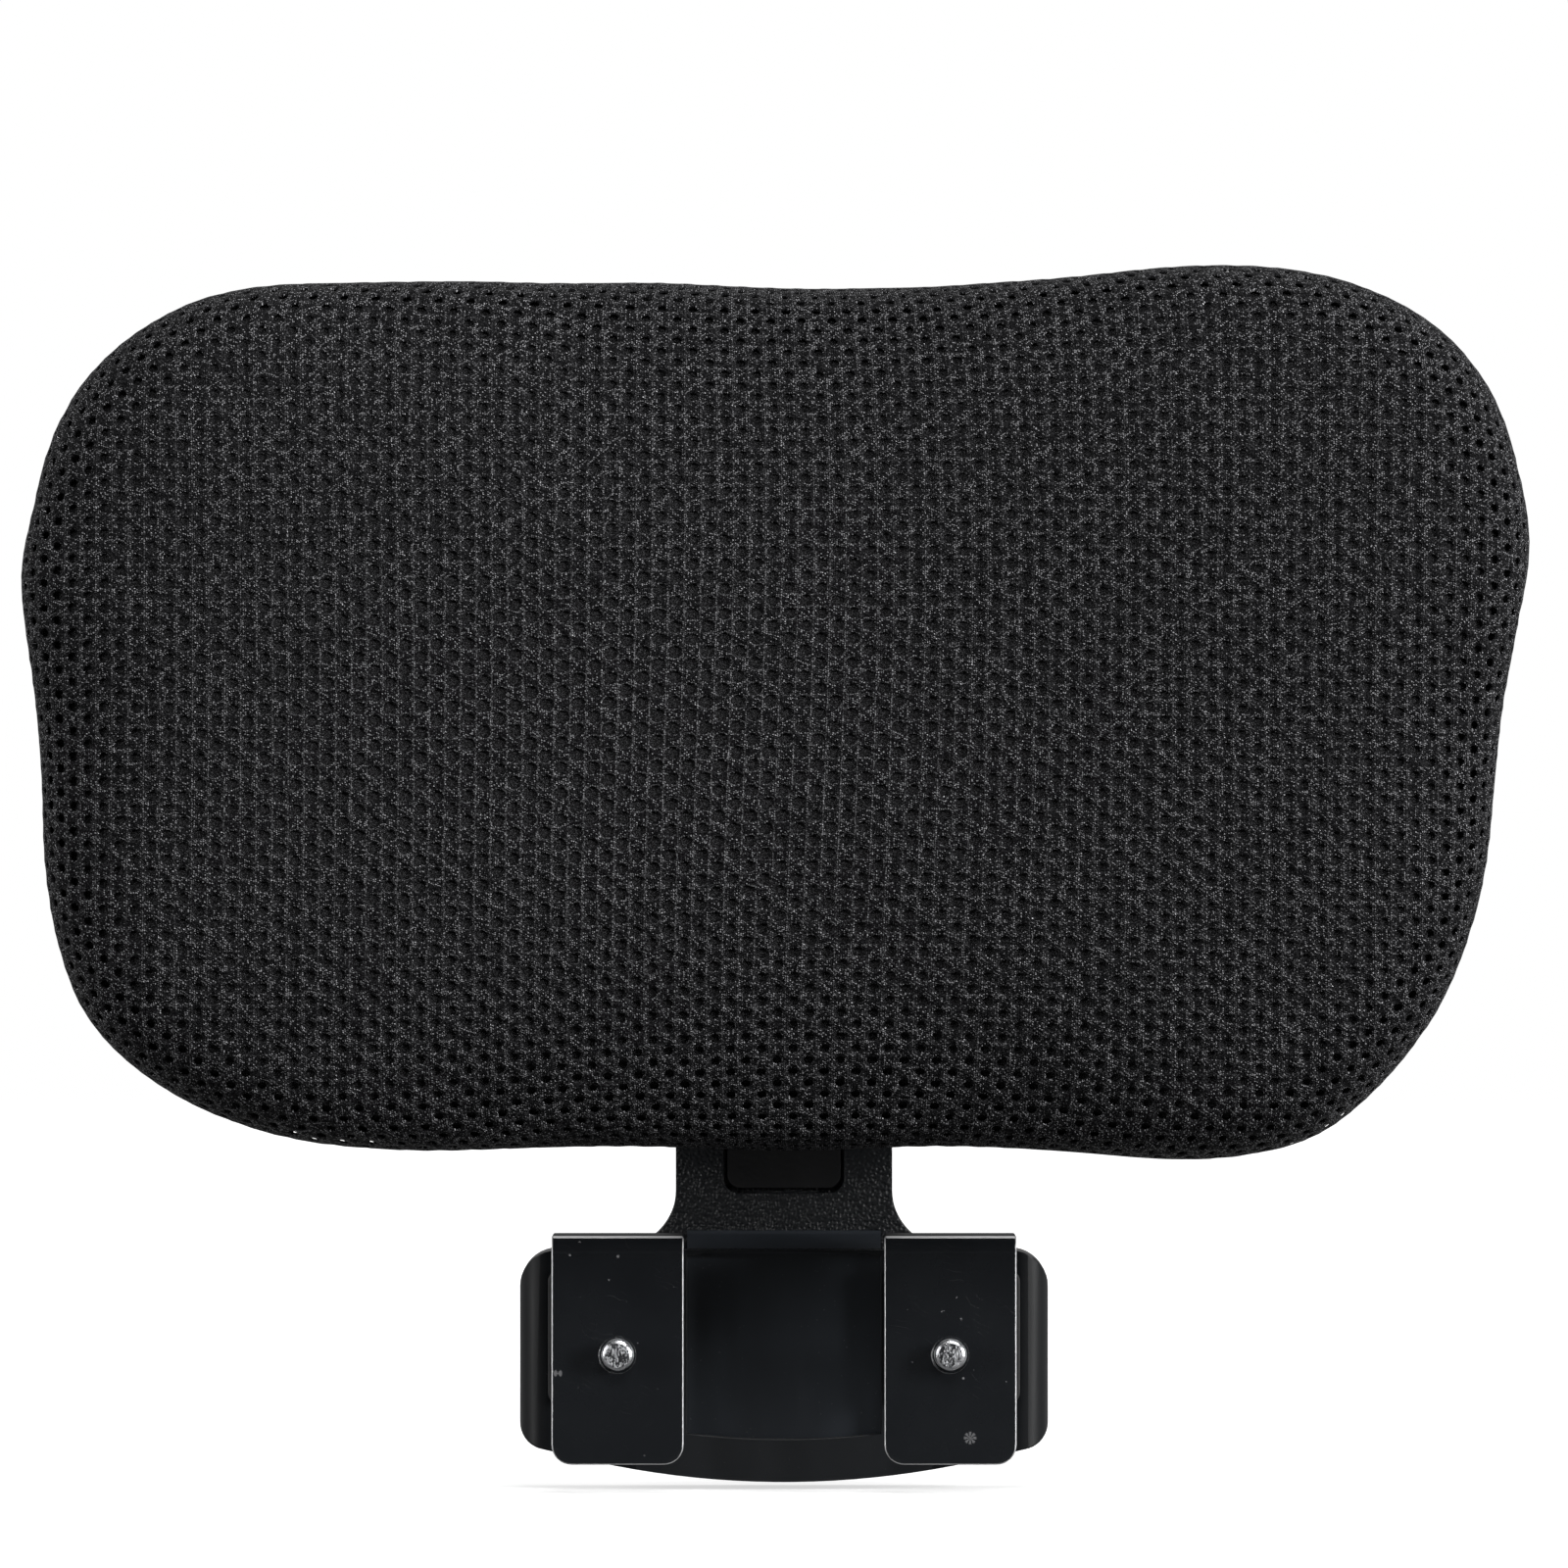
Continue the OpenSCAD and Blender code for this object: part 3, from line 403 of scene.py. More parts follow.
# ------------------------------------------------------------------ hard parts with broken edges
def softened(node, name, body, mat, width=0.35, seg=2, angle=28, keep=None, convex_only=False):
    """A copy of a CAD node whose edges are broken by a small radius, standing for the node.
    keep(centre, normal) is true for a face that stays as it is."""
    me = NODES[node].data.copy()
    me.name = name
    bm = bmesh.new(); bm.from_mesh(me)
    bmesh.ops.remove_doubles(bm, verts=bm.verts, dist=2e-6)
    kept = (lambda f: keep is not None and keep(f.calc_center_median(), f.normal))
    bmesh.ops.dissolve_limit(bm, angle_limit=math.radians(0.6), use_dissolve_boundaries=False, verts=[],
                             edges=[e for e in bm.edges if not any(kept(f) for f in e.link_faces)])
    lay = bm.edges.layers.float.get("bevel_weight_edge") or bm.edges.layers.float.new("bevel_weight_edge")
    for e in bm.edges:
        if len(e.link_faces) == 2 and e.calc_face_angle(0) > math.radians(angle) and not any(kept(f) for f in e.link_faces):
            if not convex_only or e.calc_face_angle_signed(0) > 0:
                e[lay] = 1.0
    for f in bm.faces: f.smooth = True
    bm.to_mesh(me); bm.free()
    if "custom_normal" in me.attributes: me.attributes.remove(me.attributes["custom_normal"])
    ob = new_object(name + "_tmp", me)
    mod = ob.modifiers.new("edge", "BEVEL")
    mod.width = width * MM; mod.segments = seg; mod.limit_method = "WEIGHT"
    mod.use_clamp_overlap = False; mod.miter_outer = "MITER_ARC"
    dg = bpy.context.evaluated_depsgraph_get()
    out = bpy.data.meshes.new_from_object(ob.evaluated_get(dg))
    bpy.data.objects.remove(ob)
    out.name = name
    bm = bmesh.new(); bm.from_mesh(out)
    bmesh.ops.triangulate(bm, faces=[f for f in bm.faces if len(f.verts) > 4], quad_method="BEAUTY", ngon_method="BEAUTY")
    bmesh.ops.dissolve_degenerate(bm, dist=1e-7, edges=bm.edges)
    bm.to_mesh(out); bm.free()
    out.shade_smooth()
    out.set_sharp_from_angle(angle=math.radians(34))
    res = new_object(name, out)
    out.materials.clear(); out.materials.append(mat)
    mod = res.modifiers.new("weights", "WEIGHTED_NORMAL")
    mod.keep_sharp = True; mod.weight = 50
    dg = bpy.context.evaluated_depsgraph_get()
    fin = bpy.data.meshes.new_from_object(res.evaluated_get(dg))
    res.modifiers.clear(); res.data = fin; fin.name = name
    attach(res, body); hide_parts(node)
    return res

def bracket_keep(c, n):
    # the ribbed back face with its pockets, and the fine step where the band runs into the saddle
    if c.y > 0.0236 and n.y > 0.9: return True
    if c.y > 0.0130 and n.y > 0.9: return True
    return abs(c.x) < 0.0198 and -0.0030 < c.z < 0.0014 and c.y < 0.0106

def shell_keep(c, n):
    return abs(c.x) < 0.0225 and 0.043 < c.z < 0.093

softened("base_bracket", "bracket_moulding", "bracket", M_BASE, 0.35, 2, keep=bracket_keep, convex_only=True)
softened("height_slider", "slider_moulding", "slider", M_SLIDER, 0.35, 2)
softened("left_hook_plate", "hook_plate_left", "left_hook", M_HOOK, 0.45, 3)
softened("right_hook_plate", "hook_plate_right", "right_hook", M_HOOK, 0.45, 3)
def burr_ring(hook, cx, cz, front):
    """The lip thrown up round the tapped hole, joined to the plate."""
    bm = bmesh.new(); bm.from_mesh(hook.data)
    nA, nB, Rm, rt = 72, 8, 0.00372, 0.00014
    rows = []
    for i in range(nA):
        t = 2 * math.pi * i / nA
        k = rt * (0.14 + 0.86 * max(0.0, math.cos(t - 3.6)) ** 1.5 * (1.0 + 0.2 * math.sin(9 * t)))     # heavier on one side
        rows.append([bm.verts.new((cx + (Rm + k * math.cos(2 * math.pi * j / nB)) * math.cos(t), front + k * math.sin(2 * math.pi * j / nB),
                                   cz + (Rm + k * math.cos(2 * math.pi * j / nB)) * math.sin(t))) for j in range(nB)])
    new = []
    for i in range(nA):
        for j in range(nB):
            new.append(bm.faces.new((rows[i][j], rows[(i + 1) % nA][j], rows[(i + 1) % nA][(j + 1) % nB], rows[i][(j + 1) % nB])))
    for f in new: f.smooth = True
    bmesh.ops.recalc_face_normals(bm, faces=new)
    bm.to_mesh(hook.data); bm.free()

burr_ring(bpy.data.objects["hook_plate_left"], -0.0335, -0.0224, -0.0216)
burr_ring(bpy.data.objects["hook_plate_right"], 0.0335, -0.0224, -0.0216)
softened("left_clamp_pad", "clamp_pad_left", "bracket", M_RUBBER, 0.4, 3)
softened("right_clamp_pad", "clamp_pad_right", "bracket", M_RUBBER, 0.4, 3)
softened("pivot_bracket", "pivot_bracket_moulding", "cushion", M_PIVOT, 0.35, 2)
softened("rear_shell", "rear_shell_moulding", "cushion", M_SHELL, 0.5, 3, keep=shell_keep)
softened("hinge_nut", "hinge_lock_nut", "cushion", M_ZINC, 0.25, 2)
softened("hinge_pin", "hinge_bolt", "cushion", M_BOLT, 0.25, 2)
softened("height_stop_screw", "stop_screw", "bracket", M_ZINC, 0.15, 2)
softened("pivot_screws", "bracket_screws", "cushion", M_ZINC, 0.15, 2)
softened("shell_screws", "shell_fixing_screws", "cushion", M_BLACKSCREW, 0.15, 2)
softened("left_bolt_washer", "bolt_washer_left", "bracket", M_ZINC, 0.15, 2)
softened("right_bolt_washer", "bolt_washer_right", "bracket", M_ZINC, 0.15, 2)

for node, mat in (("detent_spring", M_ZINC), ("detent_rivet", M_ZINC), ("hinge_washers", M_ZINC), ("support_board", M_BOARD)):
    me = NODES[node].data
    me.materials.clear(); me.materials.append(mat)

# ------------------------------------------------------------------ clamp bolts with a true helix
def helix_bolt(name, cad, body, side):
    lo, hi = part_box(cad)
    cx, cz = (lo[0] + hi[0]) / 2, (lo[2] + hi[2]) / 2
    tip, back = lo[1], hi[1]
    head = 0.0194                       # underside of the head, as in the CAD
    R, r, P, NA = 0.0030, 0.00246, 0.001, 40
    prof = [(0.0, r), (0.14, r), (0.42, R * 0.993), (0.5, R), (0.58, R * 0.993), (0.86, r)]
    y0, y1 = tip, tip + 0.0335
    turns = int((y1 - y0) / P) + 3
    verts, faces = [], []
    rows = []
    for k in range(turns * len(prof)):
        t, j = divmod(k, len(prof))
        row = []
        for a in range(NA + 1):
            th = 2 * math.pi * a / NA
            y = y0 - 2 * P + (t + prof[j][0] + a / NA) * P
            rad = prof[j][1]
            rad = min(rad, 0.00248 + max(0.0, (y - y0)) * 0.9)          # tip chamfer
            rad = max(min(rad, R), 0.0) if y < y1 - 0.001 else min(rad + (y - y1 + 0.001) * 0.7, R)
            y = min(max(y, y0), y1)
            row.append(len(verts)); verts.append((cx + rad * math.cos(th), y, cz + rad * math.sin(th)))
        rows.append(row)
    for i in range(len(rows) - 1):
        for a in range(NA):
            faces.append((rows[i][a], rows[i + 1][a], rows[i + 1][a + 1], rows[i][a + 1]))
    me = mesh_from(name, verts, faces)
    bm = bmesh.new(); bm.from_mesh(me)
    bmesh.ops.remove_doubles(bm, verts=bm.verts, dist=1e-6)
    bmesh.ops.dissolve_degenerate(bm, dist=1e-6, edges=bm.edges)
    # plain shank, button head and socket by rings
    def ring(rad, y, n=NA, ph=0.0):
        return [bm.verts.new((cx + rad * math.cos(2 * math.pi * a / n + ph), y, cz + rad * math.sin(2 * math.pi * a / n + ph))) for a in range(n)]
    def join(a, b):
        n = len(a)
        for i in range(n):
            bm.faces.new((a[i], b[i], b[(i + 1) % n], a[(i + 1) % n]))
    prev = ring(R, y1)
    for rad, y in [(R, head - 0.0003), (R * 1.06, head), (0.00515, head), (0.0053, head + 0.00015)] + \
                  [(0.0053 - 0.0022 * (1 - math.cos(t)) , head + 0.00015 + 0.0030 * math.sin(t)) for t in np.linspace(0.15, 1.45, 9)]:
        nxt = ring(rad, y); join(prev, nxt); prev = nxt
    top = prev[0].co.y
    hexr = 0.00231
    def hexring(y, k=1.0):
        out = []
        for a in range(NA):
            th = 2 * math.pi * a / NA
            s = (th + math.pi / 6) % (math.pi / 3) - math.pi / 6
            rad = hexr * math.cos(math.pi / 6) / math.cos(s) * k
            out.append(bm.verts.new((cx + rad * math.cos(th), y, cz + rad * math.sin(th))))
        return out
    for k, y in ((1.1, top + 0.00004), (1.0, top - 0.0001), (1.0, top - 0.0019), (0.5, top - 0.0021)):
        nxt = hexring(y, k); join(prev, nxt); prev = nxt
    bm.faces.new(prev)
    # end face of the thread, slightly crowned and burred
    loops = [e for e in bm.edges if e.is_boundary and all(v.co.y < y0 + 1e-6 for v in e.verts)]
    if loops:
        ends = sorted({v for e in loops for v in e.verts}, key=lambda v: math.atan2(v.co.z - cz, v.co.x - cx))
        inner = []
        for i, v in enumerate(ends):
            inner.append(bm.verts.new((cx + (v.co.x - cx) * 0.90, y0 - 0.00005 - 0.00002 * math.sin(i * 2.3), cz + (v.co.z - cz) * 0.90)))
        for i in range(len(ends)):
            j = (i + 1) % len(ends)
            bm.faces.new((ends[i], ends[j], inner[j], inner[i]))
        mid = bm.verts.new((cx + 0.0002, y0 - 0.00001, cz - 0.0002))
        for i in range(len(inner)):
            bm.faces.new((inner[i], inner[(i + 1) % len(inner)], mid))
    bmesh.ops.recalc_face_normals(bm, faces=bm.faces)
    for f in bm.faces: f.smooth = True
    bm.to_mesh(me); bm.free()
    me.set_sharp_from_angle(angle=math.radians(40))
    ob = new_object(name, me)
    me.materials.append(M_BOLT)
    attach(ob, body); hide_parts(cad)
    return ob

helix_bolt("clamp_bolt_left", "left_clamp_bolt", "left_bolt", -1)
helix_bolt("clamp_bolt_right", "right_clamp_bolt", "right_bolt", 1)

# ------------------------------------------------------------------ cushion form
CZ = 105.5
SEAM_Y, CROWN, WRAP = -38.0, 36.0, 500.0
BACK_Y = -16.2                # outer face of the back panel at the centre plane
OUT = [(13.7, 191.5), (37.2, 192.3), (60.7, 194), (84.1, 195.9), (96, 195.6), (107.4, 193.9), (118.9, 190), (130.5, 182.9), (140.4, 170.8), (145.8, 155.1), (148.1, 139.5),
       (145.6, 123.8), (142.8, 108.2), (141.1, 92.5), (139.6, 76.8), (135.8, 61.2), (128.8, 45.5), (123.1, 37.7), (115.4, 29.3), (104.4, 21.6), (93, 18.7), (58.7, 19),
       (0, 19.2), (-58.7, 19.6), (-80, 19.7), (-100.5, 22.4), (-119.9, 29.9), (-131, 37.7), (-138.1, 45.5), (-144.3, 61.2), (-146.8, 76.8), (-147.3, 92.5), (-148.5, 108.2),
       (-150.6, 123.8), (-151.5, 134), (-149, 147.3), (-145.3, 161.5), (-140.4, 170.8), (-133.6, 178.6), (-125.9, 184.3), (-115.1, 189.4), (-103.6, 191.7), (-90, 192.3), (-56.8, 192.7),
       (-21.5, 192.5)]

def periodic_spline(px, py, q):
    """Periodic cubic (Catmull-Rom, non-uniform) through (px, py), period 2 pi, at q."""
    o = np.argsort(px); px, py = px[o], py[o]
    n = len(px)
    X = np.concatenate([px - 2 * math.pi, px, px + 2 * math.pi]); Y = np.concatenate([py, py, py])
    d = np.gradient(Y, X)
    i = np.clip(np.searchsorted(X, q, side="right") - 1, 0, len(X) - 2)
    h = X[i + 1] - X[i]; t = (q - X[i]) / h
    h00 = 2 * t**3 - 3 * t**2 + 1; h10 = t**3 - 2 * t**2 + t; h01 = -2 * t**3 + 3 * t**2; h11 = t**3 - t**2
    return h00 * Y[i] + h10 * h * d[i] + h01 * Y[i + 1] + h11 * h * d[i + 1]

_o = np.array(OUT, float)
_phi = np.arctan2(_o[:, 1] - CZ, _o[:, 0]) % (2 * math.pi)
_rad = np.hypot(_o[:, 0], _o[:, 1] - CZ)
NPHI = 1440
PHI = np.arange(NPHI) * 2 * math.pi / NPHI
RIM = periodic_spline(_phi, _rad, PHI)
_k = np.exp(-0.5 * (np.arange(-14, 15) / 5.0) ** 2); _k /= _k.sum()
RIM = np.convolve(np.concatenate([RIM[-14:], RIM, RIM[:14]]), _k, "valid")

def rim_at(phi):
    f = (phi % (2 * math.pi)) / (2 * math.pi) * NPHI
    i = np.floor(f).astype(int) % NPHI; w = f - np.floor(f)
    return RIM[i] * (1 - w) + RIM[(i + 1) % NPHI] * w

def bow(x):
    return WRAP - np.sqrt(np.maximum(WRAP**2 - x**2, 1.0))

def front_form(phi, rho):
    """Smooth front of the pad at outline share rho, millimetres."""
    R = rim_at(phi) * rho
    x = R * np.cos(phi); z = CZ + R * np.sin(phi)
    p = 2.7
    f = np.maximum(0, 1 - np.clip(rho, 0, 1) ** p) ** (1 / p)
    # the wings come further forward than the seam does, so the face is dished from side to side
    wing = 2.6 * (x / 100.0) ** 2 * (1 - np.clip(rho, 0, 1) ** 8) - 0.8
    return np.stack([x, SEAM_Y - bow(x) - CROWN * f - wing * f, z], -1)

def back_form(phi, rho):
    """Back of the pad: flat round the shell, rolling over to the seam."""
    R = rim_at(phi) * rho
    x = R * np.cos(phi); z = CZ + R * np.sin(phi)
    u = np.clip((rho - 0.74) / 0.26, 0, 1)
    y = SEAM_Y + (BACK_Y - SEAM_Y) * np.maximum(0, 1 - u**2.2) ** (1 / 2.0)
    return np.stack([x, y - bow(x), z], -1)

# ---- cloth: the sewn cover is blown up over the pad, and its fullness is kept as a field of displacements
NC, NF, NB = 120, 22, 12
FR = np.sin(np.linspace(0, math.pi / 2, NF + 1))          # rings crowd towards the seam
BR = 1 - (1 - 0.66) * (1 - np.cos(np.linspace(0, math.pi / 2, NB + 1)))
PC = np.arange(NC) * 2 * math.pi / NC

def simulate():
    fr = [front_form(PC, r) for r in FR[1:]]
    br = [back_form(PC, r) for r in BR[1:]]
    centre = front_form(np.zeros(1), np.zeros(1))
    shrink = 0.985
    P = np.concatenate([centre] + fr + br)
    mid = np.array([0, -40.0, CZ])
    Q = mid + (P - mid) * np.array([shrink, 0.93, shrink])
    faces = [(0, 1 + (j + 1) % NC, 1 + j) for j in range(NC)]
    for i in range(NF - 1 + NB):
        a, b = 1 + i * NC, 1 + (i + 1) * NC
        faces += [(a + j, a + (j + 1) % NC, b + (j + 1) % NC, b + j) for j in range(NC)]
    last = 1 + (NF + NB - 1) * NC
    faces.append(tuple(last + j for j in range(NC)))
    me = mesh_from("cover_sim", Q * MM, faces)
    ob = new_object("cover_sim", me)
    g = ob.vertex_groups.new(name="hold")
    w = np.zeros(len(Q))
    w[1 + (NF + NB - 3) * NC:] = 1.0
    for i in np.nonzero(w)[0]:
        g.add([int(i)], float(w[i]), "REPLACE")
    # the sewn seam gives less than the panels
    for j in range(NC):
        g.add([1 + (NF - 1) * NC + j], 0.35, "REPLACE")
    md = ob.modifiers.new("cloth", "CLOTH")
    st = md.settings
    st.quality = 6; st.mass = 0.25; st.tension_stiffness = 18; st.compression_stiffness = 10; st.shear_stiffness = 8; st.bending_stiffness = 0.6
    st.use_pressure = True; st.uniform_pressure_force = 4.0; st.vertex_group_mass = "hold"; st.pin_stiffness = 1.2
    st.effector_weights.gravity = 0.0
    md.point_cache.frame_start = 1; md.point_cache.frame_end = 20
    for f in range(1, 21):
        scene.frame_set(f)
    dg = bpy.context.evaluated_depsgraph_get()
    ev = ob.evaluated_get(dg).to_mesh()
    co = np.zeros(len(ev.vertices) * 3); ev.vertices.foreach_get("co", co)
    S = co.reshape(-1, 3) / MM
    bpy.data.objects.remove(ob)
    scene.frame_set(1)
    D = S - P
    L = np.linalg.norm(D, axis=1, keepdims=True)
    cap = 9.0
    D = D * np.minimum(1.0, cap / np.maximum(L, 1e-6))
    return D, P

def grid_blur(G, n):
    for _ in range(n):
        G = 0.5 * G + 0.25 * (np.roll(G, 1, 1) + np.roll(G, -1, 1))
        H = G.copy(); H[1:-1] = 0.5 * G[1:-1] + 0.25 * (G[:-2] + G[2:]); G = H
    return G

D, P0 = simulate()
F = np.zeros((NF + 1, NC, 3)); F[0] = D[0]; F[1:] = D[1:1 + NF * NC].reshape(NF, NC, 3)
B = np.zeros((NB + 1, NC, 3)); B[0] = F[-1]; B[1:] = D[1 + NF * NC:].reshape(NB, NC, 3)
DF = -grid_blur(F, 2)[..., 1]           # forward swell of the front panel
DB = grid_blur(B, 2)[..., 1]            # rearward swell of the back panel
print("cloth: front swell mm", float(DF.min()), float(DF.max()), "back", float(DB.min()), float(DB.max()))
DF = np.clip(DF - DF.mean() * 0.75, -4, 5); DB = np.clip(DB - DB.mean() * 0.75, -3, 3)

def sample(G, knots, phi, rho):
    """Smooth lookup of a ring-by-angle grid."""
    k = np.interp(rho, knots, np.arange(len(knots)))
    i = np.clip(np.floor(k).astype(int), 0, len(knots) - 2); t = k - i
    f = (phi % (2 * math.pi)) / (2 * math.pi) * NC
    j = np.floor(f).astype(int); s = f - j
    def cub(p0, p1, p2, p3, t):
        return 0.5 * (2 * p1 + (p2 - p0) * t + (2 * p0 - 5 * p1 + 4 * p2 - p3) * t**2 + (3 * p1 - p0 - 3 * p2 + p3) * t**3)
    def row(ii):
        ii = np.clip(ii, 0, len(knots) - 1)
        return cub(G[ii, (j - 1) % NC], G[ii, j % NC], G[ii, (j + 1) % NC], G[ii, (j + 2) % NC], s)
    return cub(row(i - 1), row(i), row(i + 1), row(i + 2), t)

def front_at(phi, rho):
    p = front_form(phi, rho)
    p[..., 1] -= sample(DF, FR, phi, rho) * (1 - rho**8)
    return p

def back_at(phi, rho):
    p = back_form(phi, rho)
    u = np.clip((rho - 0.70) / 0.12, 0, 1)
    k = np.interp(rho, BR[::-1], np.arange(len(BR))[::-1])
    p[..., 1] += sample(DB, np.arange(len(BR)).astype(float), phi, k) * u * u * (3 - 2 * u) * (1 - rho**10)
    return p

# ---- flat pattern of a panel: distance along the surface from its middle, direction kept
class Panel:
    def __init__(self, at, rho0=0.0, n=400, m=720):
        self.at, self.m = at, m
        phi = np.arange(m) * 2 * math.pi / m
        self.t = 1 - (1 - np.linspace(0, 1, n)) ** 1.6      # finer near the seam
        P = np.stack([at(phi, np.full(m, r)) for r in self.t])
        s = np.concatenate([np.zeros((1, m)), np.cumsum(np.linalg.norm(np.diff(P, axis=0), axis=2), axis=0)])
        self.smax = s[-1]
        nr = 512
        self.nr = nr
        self.inv = np.zeros((nr + 1, m))
        for i in range(m):
            self.inv[:, i] = np.interp(np.linspace(0, 1, nr + 1) * s[-1, i], s[:, i], self.t)
    def edge(self, phi):
        f = (phi % (2 * math.pi)) / (2 * math.pi) * self.m
        i = np.floor(f).astype(int) % self.m; w = f - np.floor(f)
        return self.smax[i] * (1 - w) + self.smax[(i + 1) % self.m] * w
    def rho(self, u, v):
        phi = np.arctan2(v, u); r = np.hypot(u, v)
        q = np.clip(r / self.edge(phi), 0, 1) * self.nr
        f = (phi % (2 * math.pi)) / (2 * math.pi) * self.m
        i = np.floor(f).astype(int) % self.m; w = f - np.floor(f); i2 = (i + 1) % self.m
        k = np.clip(np.floor(q).astype(int), 0, self.nr - 1); a = q - k
        def col(ii): return self.inv[k, ii] * (1 - a) + self.inv[k + 1, ii] * a
        return phi, col(i) * (1 - w) + col(i2) * w
    def surf(self, u, v):
        phi, rho = self.rho(u, v)
        return self.at(phi, rho)
    def normal(self, u, v, outward):
        e = 0.35
        r = np.hypot(u, v); lim = self.edge(np.arctan2(v, u))
        k = np.minimum(1.0, (lim - 1.2 * e) / np.maximum(r, 1e-6)); uu, vv = u * k, v * k
        a = self.surf(uu + e, vv) - self.surf(uu - e, vv); b = self.surf(uu, vv + e) - self.surf(uu, vv - e)
        n = np.cross(a, b); n /= np.maximum(np.linalg.norm(n, axis=-1, keepdims=True), 1e-9)
        return n * outward

FRONT = Panel(front_at)
BACK = Panel(back_at)

def lattice(panel, outward, name, rho_in=0.0, lift=0.17, hole=(HA, HB), depth=0.36):
    """Mesh with a real opening at each point of the staggered pattern."""
    umax = float(panel.smax.max()) + 6
    cells = []
    ncol = int(umax / CS) + 2; nrow = int(umax / PT) + 2
    for i in range(-ncol, ncol + 1):
        for j in range(-nrow, nrow + 1):
            cells.append((i, j))
    I = np.array(cells); cu = I[:, 0] * CS; cv = (I[:, 1] + 0.5 * (I[:, 0] % 2)) * PT
    edge = panel.edge(np.arctan2(cv, cu)); r = np.hypot(cu, cv)
    keep = r < edge + 1.4
    if rho_in > 0:
        _, rho = panel.rho(cu, cv)
        keep &= rho > rho_in
    I, cu, cv, edge, r = I[keep], cu[keep], cv[keep], edge[keep], r[keep]
    a = 0.5868; b = 2.553
    hexa = [(b, 0), ((a + b) / 2, PT / 4), (a, PT / 2), (0, PT / 2), (-a, PT / 2), (-(a + b) / 2, PT / 4), (-b, 0),
            (-(a + b) / 2, -PT / 4), (-a, -PT / 2), (0, -PT / 2), (a, -PT / 2), ((a + b) / 2, -PT / 4)]
    hexa = np.array(hexa)
    ang = np.radians([0, 33, 63, 90, 117, 147, 180, 213, 243, 270, 297, 327])
    n = len(cu)
    U, V, H, faces, key = [], [], [], [], {}
    def vert(u, v, h, shared=None):
        if shared is not None:
            if shared in key: return key[shared]
            key[shared] = len(U)
        U.append(u); V.append(v); H.append(h)
        return len(U) - 1
    rng = np.random.RandomState(7)
    jit = rng.normal(0, 0.045, (n, 4))
    pick = rng.uniform(0, 1, n)
    for c in range(n):
        u0, v0 = cu[c], cv[c]
        outer = []
        for k in range(12):
            u, v = u0 + hexa[k, 0], v0 + hexa[k, 1]
            corner = k in (0, 2, 4, 6, 8, 10)
            h = lift if corner else lift * 0.72
            if k in (3, 9): h = lift * 1.0
            outer.append(vert(u, v, h, (round(u * 50), round(v * 50))))
        tight = 0.80 + 0.20 * min(1.0, (edge[c] - r[c]) / 14.0)
        tight *= float(open_share(u0, v0))
        ra, rb = hole[0] * (1 + jit[c, 0]) * tight, hole[1] * (1 + jit[c, 1]) * tight
        du, dv = jit[c, 2], jit[c, 3]
        # openings that would run into the seam stay closed
        open_ = r[c] < edge[c] - 1.55
        if not open_:
            mid = vert(u0, v0, 0.0)
            for k in range(12):
                faces.append((outer[k], outer[(k + 1) % 12], mid))
            continue
        lip = [vert(u0 + du + ra * math.cos(t), v0 + dv + rb * math.sin(t), 0.0) for t in ang]
        # one thin layer where the cover turns over the edge, two layers with a wall between them on the face
        rim_d = edge[c] - r[c]
        dz = -depth * min(1.0, max(0.2, (rim_d - 3.0) / 9.0))
        if rim_d < 10.0 and pick[c] < (0.82 if abs(v0) > 0.7 * r[c] else 0.5):
            dz = -1.1
        low = [vert(u0 + du + ra * 0.90 * math.cos(t), v0 + dv + rb * 0.90 * math.sin(t), dz) for t in ang]
        for k in range(12):
            k2 = (k + 1) % 12
            faces.append((outer[k], outer[k2], lip[k2], lip[k]))
            faces.append((lip[k], lip[k2], low[k2], low[k]))
    U, V, H = np.array(U), np.array(V), np.array(H)
    # bring the overhanging border back on to the seam
    rr = np.hypot(U, V); ed = panel.edge(np.arctan2(V, U))
    over = rr > ed
    s = np.where(over, ed / np.maximum(rr, 1e-9), 1.0)
    # the mesh is never laid quite straight: it drifts by a millimetre or so across the panel
    wu = 0.9 * np.sin(V / 31.0 + 0.6) * np.cos(U / 74.0) + 0.5 * np.sin(U / 23.0 + V / 47.0)
    wv = 1.1 * np.sin(U / 38.0 + 1.1) * np.cos(V / 52.0 + 0.4) + 0.4 * np.sin(V / 19.0 - U / 61.0)
    fade = np.clip((ed - rr) / 12.0, 0, 1)
    U2, V2 = (U + wu * fade) * s, (V + wv * fade) * s
    near = np.clip((ed - rr) / 2.2, 0, 1)
    H = H * near
    P = panel.surf(U2, V2); N = panel.normal(U2, V2, outward)
